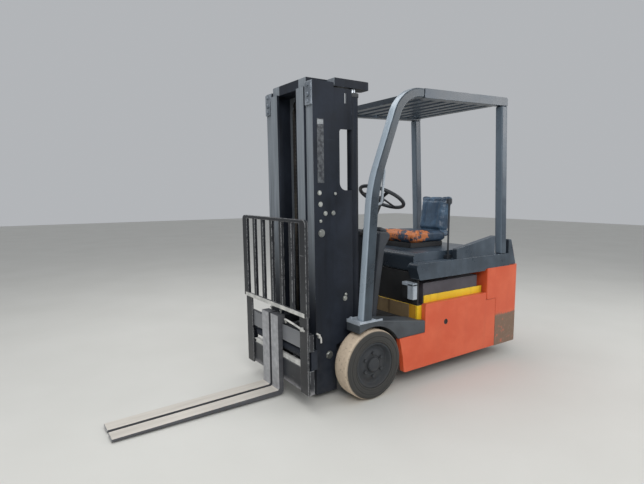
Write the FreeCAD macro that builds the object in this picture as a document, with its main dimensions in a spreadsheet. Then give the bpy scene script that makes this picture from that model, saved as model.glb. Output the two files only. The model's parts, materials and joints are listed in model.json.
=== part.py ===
import FreeCAD, Part
import Sketcher
import math
import os

# A three-wheel electric counterbalance forklift, parked with its forks lowered.
# Truck coordinates: X forward from the front axle, Y to the left, Z up from the floor, in mm.
# The finished pieces are shifted along X so that the origin is under the middle of the truck.

SIZES = (
    # name, millimetres or degrees
    ("body_half_width", 480),
    ("rear_reach", 1595),
    ("plate", 12),
    ("fit_gap", 0.3),
    ("running_gap", 5),
    # front wheels
    ("front_tyre_od", 457),
    ("front_tyre_width", 150),
    ("track_outer_y", 495),
    ("front_rim_od", 300),
    ("hub_offset", 28),
    ("arch_gap", 22),
    # rear steered wheels
    ("rear_overhang", 245),
    ("rear_tyre_od", 380),
    ("rear_tyre_width", 110),
    ("rear_tyre_gap", 44),
    ("rear_rim_od", 230),
    ("well_gap", 7),
    # chassis
    ("frame_bottom", 120),
    ("frame_beam_thickness", 30),
    ("axle_tube_r", 55),
    ("motor_r", 92),
    ("step_top", 523),
    ("step_rear_top", 446),
    ("floor_top", 440),
    ("step_bottom", 360),
    ("step_front", 120),
    ("step_rear", 473),
    ("step_inner_y", 342),
    ("panel_bottom", 114),
    ("panel_top", 560),
    ("panel_front", 273),
    ("panel_setback", 315),
    ("panel_thickness", 38),
    ("panel_hole_r", 14),
    # battery
    ("battery_front", 441),
    ("battery_clearance", 66),
    ("battery_inset", 50),
    ("battery_top", 700),
    ("battery_shoulder_x", 500),
    ("battery_shoulder_z", 546),
    ("trim_thickness", 8),
    ("trim_top", 612),
    ("trim_clearance", 18),
    # counterweight
    ("weight_depth", 427),
    ("weight_top", 750),
    ("weight_bottom", 110),
    ("weight_corner_r", 60),
    # hood rails and hood
    ("rail_top", 850),
    ("rail_bottom", 735),
    ("rail_front", 365),
    ("rail_setback", 143),
    ("rail_width", 88),
    ("rail_fin_length", 458),
    ("rail_fin_setback", 194),
    ("rail_fin_front_z", 925),
    ("rail_fin_rear_z", 1000),
    ("hood_front", 440),
    ("hood_setback", 370),
    ("hood_thickness", 60),
    ("hood_hinge_back", 30),
    ("hood_hinge_rise", 8),
    ("hood_pin_r", 8),
    ("hood_pin_length", 18),
    ("side_lever_x", 770),
    ("side_lever_top", 1290),
    # overhead guard
    ("guard_tube", 62),
    ("guard_base_x", 96),
    ("guard_base_depth", 80),
    ("guard_knee_x", 34),
    ("guard_knee_z", 1378),
    ("guard_knee_r", 900),
    ("guard_brow_x", 125),
    ("guard_brow_z", 1819),
    ("guard_roof_front_z", 2018),
    ("guard_roof_rear_z", 2062),
    ("guard_setback", 255),
    ("guard_rear_lean", 62),
    ("guard_bend_r", 260),
    ("roof_front", 420),
    ("roof_slope_start", 389),
    ("roof_bar_count", 8),
    ("roof_bar_width", 52),
    ("roof_bar_depth", 40),
    # mast
    ("mast_tilt", 1),
    ("mast_pivot_x", 105),
    ("mast_pivot_z", 190),
    ("mast_pivot_pin_r", 20),
    ("mast_half_width", 285),
    ("mast_bottom", 38),
    ("mast_top_rise", 30),
    ("mast_front", 315),
    ("channel_depth", 160),
    ("channel_flange", 75),
    ("inner_flange", 85),
    ("side_plate", 12),
    ("window_height", 385),
    ("window_drop", 250),
    ("window_depth", 42),
    ("channel_wall", 16),
    ("inner_front", 327),
    ("inner_half_width", 205),
    ("inner_bottom", 60),
    ("inner_top", 1985),
    ("tie_thickness", 18),
    ("lift_x", -24),
    ("lift_y", 245),
    ("lift_barrel_r", 36),
    ("lift_rod_r", 22),
    ("lift_barrel_bottom", 400),
    ("lift_barrel_drop", 25),
    ("rod_plate_back", 138),
    ("rod_plate_height", 60),
    ("pulley_r", 45),
    ("pulley_y", 98),
    ("pulley_width", 30),
    ("chain_width", 24),
    ("chain_thickness", 12),
    ("chain_anchor_drop", 240),
    # tilt cylinders
    ("tilt_cyl_y", 130),
    ("tilt_base_x", 330),
    ("tilt_base_z", 345),
    ("tilt_eye_x", 46),
    ("tilt_eye_z", 385),
    ("tilt_barrel_r", 32),
    ("tilt_rod_r", 18),
    ("tilt_pin_r", 12),
    # carriage
    ("bar_half_width", 410),
    ("bar_back", 417),
    ("bar_thickness", 30),
    ("upper_bar_bottom", 386),
    ("upper_bar_top", 490),
    ("lower_bar_bottom", 116),
    ("lower_bar_top", 266),
    ("shift_tube_z", 344),
    ("shift_tube_r", 33),
    ("shift_tube_half", 290),
    ("backrest_bottom", 600),
    ("backrest_leg_width", 88),
    ("backrest_leg_bottom", 110),
    ("backrest_top", 1184),
    ("backrest_bar", 22),
    ("backrest_slat", 30),
    ("backrest_gap", 91),
    ("backrest_half_width", 414),
    # forks
    ("fork_thickness", 35),
    ("fork_width", 96),
    ("fork_length", 1029),
    ("fork_top_z", 548),
    ("fork_hook", 22),
    ("fork_heel_bottom", 12),
    ("fork_tip_bottom", 31),
    ("fork_tip_thickness", 16),
    ("near_fork_y", 42),
    ("far_fork_y", -80),
    ("cowl_front", 104),
    ("cowl_half_width", 330),
    ("cowl_top", 1080),
    # operator's place
    ("steer_wheel_r", 165),
    ("steer_wheel_x", 340),
    ("steer_wheel_y", 160),
    ("steer_wheel_z", 1305),
    ("steer_rim_r", 13),
    ("seat_half_width", 205),
    ("seat_length", 420),
    ("seat_setback", 195),
    ("seat_top", 1045),
    ("seat_back_top", 1330),
    ("seat_back_depth", 85),
    ("seat_back_half_width", 155),
)

doc = FreeCAD.newDocument("Forklift")
sheet = doc.addObject("Spreadsheet::Sheet", "Sizes")
for row, (alias, number) in enumerate(SIZES, 1):
    sheet.set(f"A{row}", alias)
    sheet.set(f"B{row}", str(number))
    sheet.setAlias(f"B{row}", alias)
doc.recompute()


class Size:
    """A size from the sheet or worked out from it: its value now and the words that bind it."""

    def __init__(self, value, words):
        self.value = value
        self.words = words

    def join(self, other, sign, value):
        return Size(value, f"({self.words} {sign} {other.words})")

    def __add__(self, other):
        other = sized(other)
        return self.join(other, "+", self.value + other.value)

    def __radd__(self, other):
        return sized(other) + self

    def __sub__(self, other):
        other = sized(other)
        return self.join(other, "-", self.value - other.value)

    def __rsub__(self, other):
        return sized(other) - self

    def __mul__(self, other):
        other = sized(other)
        return self.join(other, "*", self.value * other.value)

    def __rmul__(self, other):
        return sized(other) * self

    def __truediv__(self, other):
        other = sized(other)
        return self.join(other, "/", self.value / other.value)

    def __neg__(self):
        return Size(-self.value, f"(0 - {self.words})")


def sized(number):
    if isinstance(number, Size):
        return number
    return Size(float(number), repr(float(number)))


def cosine(angle):
    return Size(math.cos(math.radians(angle.value)), f"cos({angle.words} * 1 deg)")


def sine(angle):
    return Size(math.sin(math.radians(angle.value)), f"sin({angle.words} * 1 deg)")


class Sheet:
    """Reads the sheet's cells by name, so that s.plate is a size bound to its cell."""

    def __getattr__(self, name):
        return Size(float(sheet.get(name)), f"Sizes.{name}")


s = Sheet()


def bind(item, field, size):
    item.setExpression(field, sized(size).words)


def place(item, x=0, y=0, z=0, axis=(0, 0, 1), angle=0):
    """Puts an object at a bound point, turned about one axis."""
    item.Placement = FreeCAD.Placement(FreeCAD.Vector(), FreeCAD.Rotation(FreeCAD.Vector(*axis), sized(angle).value))
    for field, size in (("x", x), ("y", y), ("z", z)):
        bind(item, f"Placement.Base.{field}", size)
    return item


names = {}


def fresh(stem):
    """A name for an inner object: the stem and a number."""
    names[stem] = names.get(stem, 0) + 1
    return f"{stem}_{names[stem]}"


# Solids

def block(x, y, z):
    """A box between two bound limits along each axis."""
    box = doc.addObject("Part::Box", fresh("block"))
    for field, (low, high) in (("Length", x), ("Width", y), ("Height", z)):
        bind(box, field, sized(high) - low)
    return place(box, x[0], y[0], z[0])


def rod(axis, centre, low, high, radius):
    """A cylinder along X, Y or Z between low and high; centre gives the two other coordinates."""
    cylinder = doc.addObject("Part::Cylinder", fresh("rod"))
    bind(cylinder, "Radius", radius)
    bind(cylinder, "Height", sized(high) - low)
    first, second = centre
    if axis == "X":
        return place(cylinder, low, first, second, (0, 1, 0), 90)
    if axis == "Y":
        return place(cylinder, first, low, second, (1, 0, 0), -90)
    return place(cylinder, first, second, low)


def add_corner_arc(before, corner, after, radius):
    """Start, end and centre of the arc that rounds a corner, and whether it turns left."""
    into = (corner - before).normalize()
    out = (after - corner).normalize()
    turn = into.x * out.y - into.y * out.x
    half = math.acos(max(-1, min(1, into.dot(out)))) / 2
    reach = radius * math.tan(half)
    start = corner - into * reach
    end = corner + out * reach
    side = FreeCAD.Vector(-into.y, into.x, 0) * (1 if turn > 0 else -1)
    return start, end, start + side * radius, turn > 0


def draw_loop(sketch, corners):
    """Draws a closed outline in a sketch and binds each corner and radius.

    corners are (u, v) or (u, v, radius) in order around the outline."""
    points = [FreeCAD.Vector(sized(c[0]).value, sized(c[1]).value, 0) for c in corners]
    radii = [c[2] if len(c) > 2 else None for c in corners]
    count = len(points)
    arcs = []
    for i, radius in enumerate(radii):
        if radius is None:
            arcs.append((points[i], points[i], None, True))
        else:
            arcs.append(add_corner_arc(points[i - 1], points[i], points[(i + 1) % count], sized(radius).value))
    first = sketch.GeometryCount
    shapes = [Part.LineSegment(arcs[i][1], arcs[(i + 1) % count][0]) for i in range(count)]
    rounds = [i for i in range(count) if radii[i] is not None]
    for i in rounds:
        start, end, centre, leftward = arcs[i]
        head, tail = (start, end) if leftward else (end, start)
        angles = [math.atan2(p.y - centre.y, p.x - centre.x) for p in (head, tail)]
        circle = Part.Circle(centre, FreeCAD.Vector(0, 0, 1), sized(radii[i]).value)
        shapes.append(Part.ArcOfCircle(circle, angles[0], angles[1]))
    sketch.addGeometry(shapes, False)
    marks = sketch.addGeometry([Part.Point(points[i]) for i in rounds], True) if rounds else ()
    rules, bound = [], []

    def rule(*words, size=None):
        if size is not None:
            bound.append((len(rules), size))
            words = words + (sized(size).value,)
        rules.append(Sketcher.Constraint(*words))

    for i in range(count):
        before, after = first + (i - 1) % count, first + i
        if radii[i] is None:
            rule("Coincident", before, 2, after, 1)
            rule("DistanceX", after, 1, size=corners[i][0])
            rule("DistanceY", after, 1, size=corners[i][1])
            continue
        order = rounds.index(i)
        arc, mark = first + count + order, marks[order]
        head, tail = (1, 2) if arcs[i][3] else (2, 1)
        rule("DistanceX", mark, 1, size=corners[i][0])
        rule("DistanceY", mark, 1, size=corners[i][1])
        rule("PointOnObject", mark, 1, before)
        rule("PointOnObject", mark, 1, after)
        rule("Tangent", before, 2, arc, head)
        rule("Tangent", arc, tail, after, 1)
        rule("Radius", arc, size=radii[i])
    offset = sketch.ConstraintCount
    sketch.addConstraint(rules)
    for index, size in bound:
        sketch.setExpression(f"Constraints[{offset + index}]", sized(size).words)


def draw_circle(sketch, u, v, radius):
    centre = FreeCAD.Vector(sized(u).value, sized(v).value, 0)
    circle = sketch.addGeometry(Part.Circle(centre, FreeCAD.Vector(0, 0, 1), sized(radius).value), False)
    offset = sketch.ConstraintCount
    sketch.addConstraint([
        Sketcher.Constraint("DistanceX", circle, 3, sized(u).value),
        Sketcher.Constraint("DistanceY", circle, 3, sized(v).value),
        Sketcher.Constraint("Radius", circle, sized(radius).value),
    ])
    for step, size in enumerate((u, v, radius)):
        sketch.setExpression(f"Constraints[{offset + step}]", sized(size).words)


# Each plane's normal along its world axis: the XZ plane looks along -Y.
PLANES = {"XY": 1, "XZ": -1, "YZ": 1}


def new_sketch(body, plane, offset=0):
    sketch = body.newObject("Sketcher::SketchObject", fresh("sketch"))
    role = f"{plane}_Plane"
    origin = [item for item in body.Origin.OriginFeatures if item.Role == role][0]
    sketch.AttachmentSupport = [(origin, "")]
    sketch.MapMode = "FlatFace"
    bind(sketch, "AttachmentOffset.Base.z", offset)
    return sketch


def profile(plane, low, high, outline, holes=(), circles=()):
    """A plate: an outline with holes on a plane, padded from low to high along its normal."""
    body = doc.addObject("PartDesign::Body", fresh("profile"))
    start = low if PLANES[plane] > 0 else -sized(high)
    sketch = new_sketch(body, plane, start)
    draw_loop(sketch, outline)
    for hole in holes:
        draw_loop(sketch, hole)
    for circle in circles:
        draw_circle(sketch, *circle)
    pad = body.newObject("PartDesign::Pad", fresh("pad"))
    pad.Profile = sketch
    bind(pad, "Length", sized(high) - low)
    body.Tip = pad
    return body


def turned(outline, x=0, y=0, z=0, axis="Y"):
    """A round piece: its outline in (radius, along) turned about the named axis through a point."""
    body = doc.addObject("PartDesign::Body", fresh("turned"))
    sketch = new_sketch(body, "XZ")
    draw_loop(sketch, outline)
    turn = body.newObject("PartDesign::Revolution", fresh("turn"))
    turn.Profile = sketch
    turn.ReferenceAxis = (sketch, ["V_Axis"])
    turn.Angle = 360
    body.Tip = turn
    if axis == "Y":
        return place(body, x, y, z, (1, 0, 0), -90)
    if axis == "X":
        return place(body, x, y, z, (0, 1, 0), 90)
    return place(body, x, y, z)


def fused(*pieces):
    joined = doc.addObject("Part::MultiFuse", fresh("fused"))
    joined.Shapes = list(pieces)
    joined.Refine = True
    return joined


def cut(base, *tools):
    result = doc.addObject("Part::Cut", fresh("cut"))
    result.Base = base
    result.Tool = tools[0] if len(tools) == 1 else fused(*tools)
    return result


def mirrored(piece):
    """The same piece on the other side of the truck."""
    mirror = doc.addObject("Part::Mirroring", fresh("mirror"))
    mirror.Source = piece
    mirror.Normal = FreeCAD.Vector(0, 1, 0)
    return mirror


# Sizes that follow from the sheet, and the frames of reference

wheelbase = s.rear_reach - s.rear_overhang
weight_front = s.rear_reach - s.weight_depth
panel_rear = s.rear_reach - s.panel_setback
rail_rear = s.rear_reach - s.rail_setback
hood_rear = s.rear_reach - s.hood_setback
guard_rear_x = s.rear_reach - s.guard_setback
battery_rear = weight_front - s.battery_clearance
trim_rear = weight_front - s.trim_clearance
rail_fin_rear = rail_rear - s.rail_fin_setback
rail_fin_front = rail_fin_rear - s.rail_fin_length
seat_rear = hood_rear - s.seat_setback
seat_front = seat_rear - s.seat_length
battery_half_width = s.body_half_width - s.battery_inset
rail_inner_y = s.body_half_width - s.rail_width
mast_top = s.inner_top + s.mast_top_rise
lift_barrel_top = s.inner_top - s.lift_barrel_drop
window_top = s.inner_top - s.window_drop
window_bottom = window_top - s.window_height
chain_anchor_z = window_bottom - s.chain_anchor_drop

fork_face = s.bar_back + s.bar_thickness + s.fit_gap + s.fork_thickness
fork_tip = fork_face + s.fork_length
tip_from_pivot_z = s.fork_tip_bottom + s.fork_tip_thickness - s.mast_pivot_z
tip_x = (s.mast_pivot_x + (fork_tip - s.mast_pivot_x) * cosine(s.mast_tilt)
         + tip_from_pivot_z * sine(s.mast_tilt))
shift = (s.rear_reach - tip_x) / 2

nodes = []


def node(name, *pieces, on_mast=False):
    """A named sub-part. On the mast it is drawn upright and leant about the tilt pivot."""
    item = doc.addObject("Part::Compound", name)
    item.Label = name
    item.Links = list(pieces)
    if on_mast:
        px, pz, tilt = s.mast_pivot_x, s.mast_pivot_z, s.mast_tilt
        place(item, shift + px - px * cosine(tilt) - pz * sine(tilt), 0,
              pz + px * sine(tilt) - pz * cosine(tilt), (0, 1, 0), tilt)
        bind(item, "Placement.Rotation.Angle", tilt)
    else:
        place(item, shift)
    nodes.append(item)
    return item


def pair(name, make, **kind):
    """Left and right nodes of a piece that is the same on both sides."""
    piece = make()
    node(f"{name}_left", piece, **kind)
    node(f"{name}_right", mirrored(piece), **kind)


# Chassis

beam_inner_y = s.mast_half_width + s.running_gap + 2
beam_outer_y = beam_inner_y + s.frame_beam_thickness
ear_inner_y = s.mast_half_width - 33
front_axle_z = s.front_tyre_od / 2
rear_axle_z = s.rear_tyre_od / 2
arch_r = front_axle_z + s.arch_gap
rear_half_width = s.rear_tyre_width + s.rear_tyre_gap / 2
belly_top = s.frame_bottom + s.plate * 2


def chassis_frame():
    """Belly plate, two front beams with the mast pivot ears, and the wall ahead of the battery."""
    low = s.frame_bottom
    ear_r = s.mast_pivot_pin_r + 20
    front = s.mast_pivot_x + ear_r
    wall_back, wall_front = -s.battery_front + 4, -s.battery_front + 16
    wall_top = s.floor_top - 24
    beam = profile("XZ", beam_inner_y, beam_outer_y, [
        (wall_front, low), (front, low), (front, s.mast_pivot_z + ear_r, 30), (0, 310), (-200, 330),
        (wall_front, wall_top - 10)],
        circles=[(0, front_axle_z, s.axle_tube_r + s.fit_gap),
                 (s.mast_pivot_x, s.mast_pivot_z, s.mast_pivot_pin_r + s.fit_gap)])
    belly = block((-battery_rear, wall_front), (-battery_half_width, battery_half_width), (low, belly_top))
    wall = block((wall_back, wall_front), (-s.step_inner_y, s.step_inner_y), (belly_top, wall_top))
    return fused(beam, mirrored(beam), belly, wall)


def drive_axle():
    """Axle tube with the two drive motors beside the middle, and the flanges that carry the hubs."""
    half = s.track_outer_y - s.front_tyre_width / 2 - s.hub_offset - s.fit_gap
    motors = ear_inner_y - 12
    tube = rod("Y", (0, front_axle_z), -half, half, s.axle_tube_r)
    return fused(tube, rod("Y", (0, front_axle_z), -motors, motors, s.motor_r))


def mast_pin():
    """One of the two pins that the mast tilts on, held in the frame's ear."""
    return rod("Y", (s.mast_pivot_x, s.mast_pivot_z), ear_inner_y, beam_outer_y, s.mast_pivot_pin_r)


def step():
    """Moulded step that arches over the front wheel, falls to the rear and carries the guard's front pillar."""
    inner = s.step_inner_y + s.fit_gap
    outline = [
        (s.step_front, s.step_top), (s.guard_base_x - s.guard_base_depth - 10, s.step_top),
        (-s.step_rear, s.step_rear_top), (-s.step_rear, s.step_bottom), (s.step_front, s.step_bottom)]
    arch = rod("Y", (0, front_axle_z), inner - 5, s.body_half_width + 5, arch_r)
    corner = block((-s.step_rear - 5, -s.battery_front + s.trim_thickness + s.fit_gap),
                   (inner - 5, battery_half_width + s.trim_thickness + s.fit_gap * 2),
                   (s.step_bottom - 5, s.step_top))
    return cut(profile("XZ", inner, s.body_half_width, outline), arch, corner)


def side_panel():
    """Lift-off orange panel beside the battery, its front edge following the tyre."""
    front = -s.panel_front
    edge = -s.step_rear - s.fit_gap
    under_step = s.step_bottom - s.fit_gap
    outline = [
        (-panel_rear, s.panel_bottom), (front, s.panel_bottom, 14), (front + 14, front_axle_z, 160),
        (front + 46, under_step), (edge, under_step), (edge, s.panel_top, 12), (-weight_front + 10, s.panel_top),
        (-weight_front + 10, s.panel_top - 60), (-panel_rear, s.panel_top - 60)]
    return profile("XZ", s.body_half_width - s.panel_thickness, s.body_half_width, outline,
                   circles=[(-690, 405, s.panel_hole_r)])


def counterweight():
    """Cast block round the steered wheels, notched at the back of the wheel well."""
    front, back = -weight_front, -s.rear_reach
    half = s.body_half_width
    block_low = s.weight_bottom
    corner = s.weight_corner_r
    upper = profile("XY", block_low, s.weight_top, [
        (front, -half, 8), (back, -half, corner), (back, half, corner), (front, half, 8)])
    corner_r = Size(math.hypot(rear_axle_z.value, rear_half_width.value),
                    f"sqrt({rear_axle_z.words} * {rear_axle_z.words} + "
                    f"{rear_half_width.words} * {rear_half_width.words})")
    well_top = s.rear_tyre_od + 70
    well = rod("Z", (-wheelbase, 0), block_low - 5, well_top, corner_r + s.well_gap)
    notch = block((back - 5, -wheelbase), (-170, 170), (block_low - 5, s.rear_tyre_od - 60))
    relief = block((-panel_rear - 4, front + 5), (half - s.panel_thickness - 2, half + 5),
                   (block_low - 5, s.panel_top - 58))
    tow_bore = rod("Z", (back + 45, 0), s.rear_tyre_od - 70, s.weight_top + 5, 16)
    return cut(upper, well, notch, relief, mirrored(relief), tow_bore)


hinge_x = -hood_rear + s.hood_hinge_back
hinge_z = s.rail_top + s.hood_hinge_rise


def hood_rail():
    """Side rail over the battery that carries the guard's rear pillar, with a fin rising to the rear."""
    low = s.weight_top + s.fit_gap
    rail = profile("XZ", rail_inner_y, s.body_half_width, [
        (-rail_rear, low), (-weight_front + 20, low), (-weight_front + 40, s.rail_bottom),
        (-s.rail_front - 45, s.rail_bottom, 20), (-s.rail_front, s.rail_top, 30), (-rail_rear, s.rail_top, 30)])
    fin = profile("XZ", s.body_half_width - 50, s.body_half_width - 8, [
        (-rail_fin_rear, s.rail_top - 5), (-rail_fin_front, s.rail_top - 5),
        (-rail_fin_front, s.rail_fin_front_z, 15), (-rail_fin_rear, s.rail_fin_rear_z)])
    cheek = profile("XZ", rail_inner_y, rail_inner_y + 16, [
        (hinge_x - 30, s.rail_top - 5), (hinge_x - 20, hinge_z + 20), (hinge_x + 20, hinge_z + 20),
        (hinge_x + 30, s.rail_top - 5)])
    pin = rod("Y", (hinge_x, hinge_z), rail_inner_y - s.running_gap - s.hood_pin_length, rail_inner_y + 5,
              s.hood_pin_r)
    return fused(rail, fin, cheek, pin)


def front_panel():
    """Upright plate ahead of the battery that the side rails rest on, with a small case on its left."""
    face = -s.battery_front - 2
    low = s.battery_shoulder_z + s.fit_gap
    wide = block((face - s.plate, face), (-battery_half_width, battery_half_width), (low, s.rail_bottom - s.fit_gap))
    inner = rail_inner_y - s.running_gap
    tall = block((face - s.plate, face), (-inner, inner), (low, s.rail_top - 70 - s.running_gap))
    case = block((face - 1, face + 40), (inner - 68, inner + 36), (590, 705))
    return fused(wide, tall, case)


def rear_lamp():
    """Sloping lamp housing behind the side rail, standing on the counterweight."""
    front, low = -rail_rear - s.fit_gap, s.weight_top + s.fit_gap
    return profile("XZ", s.body_half_width - 52, s.body_half_width - 14, [
        (front, low), (front, s.rail_top + 110), (front - 36, s.rail_top + 110, 14), (-s.rear_reach + 38, low + 14),
        (-s.rear_reach + 38, low)])


def side_lever():
    """Control lever that stands on the left side rail, with its knob."""
    x, y = -s.side_lever_x, s.body_half_width - 66
    foot = block((x - 24, x + 24), (y - 14, y + 14), (s.rail_top + s.fit_gap, s.rail_top + 30))
    stem = rod("Z", (x, y), s.rail_top + 25, s.side_lever_top - 20, 7)
    knob = rod("Z", (x, y), s.side_lever_top - 34, s.side_lever_top, 20)
    return fused(foot, stem, knob)


def battery():
    """Steel battery case on the belly plate, with a low shoulder in front."""
    front, shoulder, half = -s.battery_front, -s.battery_shoulder_x, battery_half_width
    return profile("XZ", -half, half, [
        (-battery_rear, belly_top), (front, belly_top), (front, s.battery_shoulder_z), (shoulder, s.battery_shoulder_z),
        (shoulder, s.battery_top), (-battery_rear, s.battery_top)])


def battery_trim():
    """Yellow cover strips round the battery's front and sides."""
    half, thick, gap = battery_half_width, s.trim_thickness, s.fit_gap
    low = s.floor_top + gap
    front = -s.battery_front + thick
    side = profile("XZ", half + gap, half + gap + thick, [
        (-trim_rear, low), (front, low), (front, s.battery_shoulder_z), (-s.battery_shoulder_x, s.battery_shoulder_z),
        (-s.battery_shoulder_x, s.trim_top), (-trim_rear, s.trim_top)])
    face = block((-s.battery_front + gap, front), (-half - gap - 1, half + gap + 1), (low, s.battery_shoulder_z))
    return fused(side, mirrored(side), face)


node("chassis_frame", chassis_frame())
node("drive_axle", drive_axle())
pair("step", step)
pair("side_panel", side_panel)
node("counterweight", counterweight())
pair("hood_rail", hood_rail)
node("battery", battery())
node("battery_trim", battery_trim())
node("front_panel", front_panel())
pair("rear_lamp", rear_lamp)
node("side_lever", side_lever())


# Overhead guard

roof_slope = (s.guard_roof_rear_z - s.guard_roof_front_z) / (guard_rear_x - s.roof_slope_start)
guard_inner_y = s.body_half_width - s.guard_tube


def roof_z(back):
    """Top of the roof at a distance behind the front axle."""
    return s.guard_roof_front_z + (sized(back) - s.roof_slope_start) * roof_slope


def guard_front():
    """Front pillar, raked and curved back into the roof."""
    tube = s.guard_tube
    brow_top = roof_z(230)
    outline = [
        (s.guard_base_x, s.step_top + s.fit_gap), (s.guard_knee_x, s.guard_knee_z, s.guard_knee_r),
        (-s.guard_brow_x - 85, brow_top, s.guard_bend_r), (-s.roof_front, roof_z(s.roof_front)),
        (-s.roof_front, roof_z(s.roof_front) - tube), (-s.guard_brow_x - 130, brow_top - tube, s.guard_bend_r - tube),
        (s.guard_knee_x - tube - 6, s.guard_knee_z, s.guard_knee_r),
        (s.guard_base_x - s.guard_base_depth, s.step_top + s.fit_gap)]
    return profile("XZ", guard_inner_y, s.body_half_width, outline)


def guard_rear():
    """Rear pillar from the hood rail up to the roof, leaning forwards."""
    back, tube, lean = -guard_rear_x, s.guard_tube, s.guard_rear_lean
    return profile("XZ", guard_inner_y, s.body_half_width, [
        (back - lean, s.rail_top + s.fit_gap), (back - lean + tube + 6, s.rail_top + s.fit_gap),
        (back + tube + 6, roof_z(guard_rear_x - tube - 6) - tube - s.fit_gap),
        (back, roof_z(guard_rear_x) - tube - s.fit_gap)])


def roof():
    """Two side rails, joined by the transverse bars that keep falling loads off the operator."""
    back, tube = -guard_rear_x, s.guard_tube
    front = -s.roof_front - s.fit_gap
    rail = profile("XZ", guard_inner_y, s.body_half_width, [
        (front, roof_z(s.roof_front)), (back, roof_z(guard_rear_x), 20), (back, roof_z(guard_rear_x) - tube),
        (front, roof_z(s.roof_front) - tube)])
    pieces = [rail, mirrored(rail)]
    count = int(s.roof_bar_count.value)
    for i in range(count):
        along = s.roof_front + 8 + (guard_rear_x - s.roof_front - s.roof_bar_width - 16) * i / (count - 1)
        top = roof_z(along) - 6
        pieces.append(block((-along - s.roof_bar_width, -along), (-guard_inner_y, guard_inner_y),
                            (top - s.roof_bar_depth, top)))
    return fused(*pieces)


pair("guard_front", guard_front)
pair("guard_rear", guard_rear)
node("roof", roof())


# Operator's place

def floor_plate():
    """Floor between the steps, with the two pedals standing on it."""
    top = s.floor_top
    floor = block((-s.battery_front + s.trim_thickness + s.fit_gap, -s.cowl_front), (-s.step_inner_y, s.step_inner_y),
                  (top - 24, top))
    pedals = []
    for y, width in ((-190, 60), (-90, 80)):
        pedals.append(profile("XZ", y - width / 2, y + width / 2, [
            (-s.cowl_front - 190, top - 1), (-s.cowl_front - 100, top + 66), (-s.cowl_front - 92, top + 56),
            (-s.cowl_front - 170, top - 1)]))
    return fused(floor, *pedals)


def cowl():
    """Front cowl between the mast and the operator's legs, leaning back out of the mast's way."""
    low, front = s.floor_top + s.fit_gap, -s.cowl_front
    return profile("XZ", -s.cowl_half_width, s.cowl_half_width, [
        (front, low), (front - 74, s.cowl_top, 30), (front - 190, s.cowl_top - 20, 30),
        (front - 120, s.cowl_top - 120), (front - 44, low)])


def steering():
    """Column from the cowl and the wheel at its end, tipped towards the operator."""
    x, y, z = -s.steer_wheel_x, s.steer_wheel_y, s.steer_wheel_z
    lean, run, hub = 28, 296, 24
    ring, thick = s.steer_wheel_r, s.steer_rim_r
    rim = turned([(ring - thick, 0), (ring, -thick), (ring + thick, 0), (ring, thick)], axis="Z")
    place(rim, x, y, z, (0, 1, 0), -lean)
    column = doc.addObject("Part::Cylinder", fresh("column"))
    bind(column, "Radius", hub)
    bind(column, "Height", run)
    reach_x, reach_z = math.sin(math.radians(lean)) * run, math.cos(math.radians(lean)) * run
    place(column, x + reach_x, y, z - reach_z, (0, 1, 0), -lean)
    spokes = []
    for turn in (0, 120, 240):
        spoke = doc.addObject("Part::Box", fresh("spoke"))
        bind(spoke, "Length", ring)
        bind(spoke, "Width", 24)
        bind(spoke, "Height", 10)
        tip = FreeCAD.Rotation(FreeCAD.Vector(0, 1, 0), -lean)
        spin = FreeCAD.Rotation(FreeCAD.Vector(0, 0, 1), turn)
        shift_back = (tip * spin).multVec(FreeCAD.Vector(0, -12, -10))
        place(spoke, x + shift_back.x, y + shift_back.y, z + shift_back.z)
        spoke.Placement.Rotation = tip * spin
        spokes.append(spoke)
    foot = profile("XZ", y - 45, y + 45, [
        (x + reach_x - 5, s.cowl_top - 30), (x + reach_x + 15, s.cowl_top + 30), (x + reach_x - 40, s.cowl_top + 90),
        (x + reach_x - 85, s.cowl_top + 60), (x + reach_x - 85, s.cowl_top - 30)])
    return cut(fused(rim, column, *spokes, foot), cowl_piece)


node("floor", floor_plate())
cowl_piece = cowl()
node("cowl", cowl_piece)
node("steering", steering())


# Battery hood and seat

def hood():
    """Lid over the battery between the side rails; it carries the seat."""
    half = rail_inner_y - s.running_gap
    lid = profile("XZ", -half, half, [
        (-hood_rear, s.rail_top - 40, 10), (-s.hood_front, s.rail_top - 70, 10),
        (-s.hood_front, s.rail_top + s.hood_thickness, 40), (-hood_rear, s.rail_top + s.hood_thickness, 20)])
    socket = rod("Y", (hinge_x, hinge_z), half - s.hood_pin_length - 2, half + 1, s.hood_pin_r + s.fit_gap)
    return cut(lid, socket, mirrored(socket))


def seat_base():
    return block((-seat_rear + 20, -seat_front - 40), (-s.seat_back_half_width, s.seat_back_half_width),
                 (s.rail_top + s.hood_thickness, s.seat_top - 94 - s.fit_gap))


def seat_cushion():
    return profile("XZ", -s.seat_half_width, s.seat_half_width, [
        (-seat_rear, s.seat_top - 94, 20), (-seat_front, s.seat_top - 94, 30), (-seat_front, s.seat_top, 40),
        (-seat_rear, s.seat_top - 20, 20)])


def seat_back():
    back = -seat_rear + 10
    lean = 60
    return profile("XZ", -s.seat_back_half_width, s.seat_back_half_width, [
        (back, s.seat_top - 10, 12), (back - lean, s.seat_back_top, 35),
        (back - lean - s.seat_back_depth, s.seat_back_top - 10, 35), (back - s.seat_back_depth, s.seat_top - 90, 25),
        (-seat_rear - s.fit_gap, s.seat_top - 90), (-seat_rear - s.fit_gap, s.seat_top - 10)])


node("battery_hood", hood())
node("seat_base", seat_base())
node("seat_cushion", seat_cushion())
node("seat_back", seat_back())


# Mast, drawn upright

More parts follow.
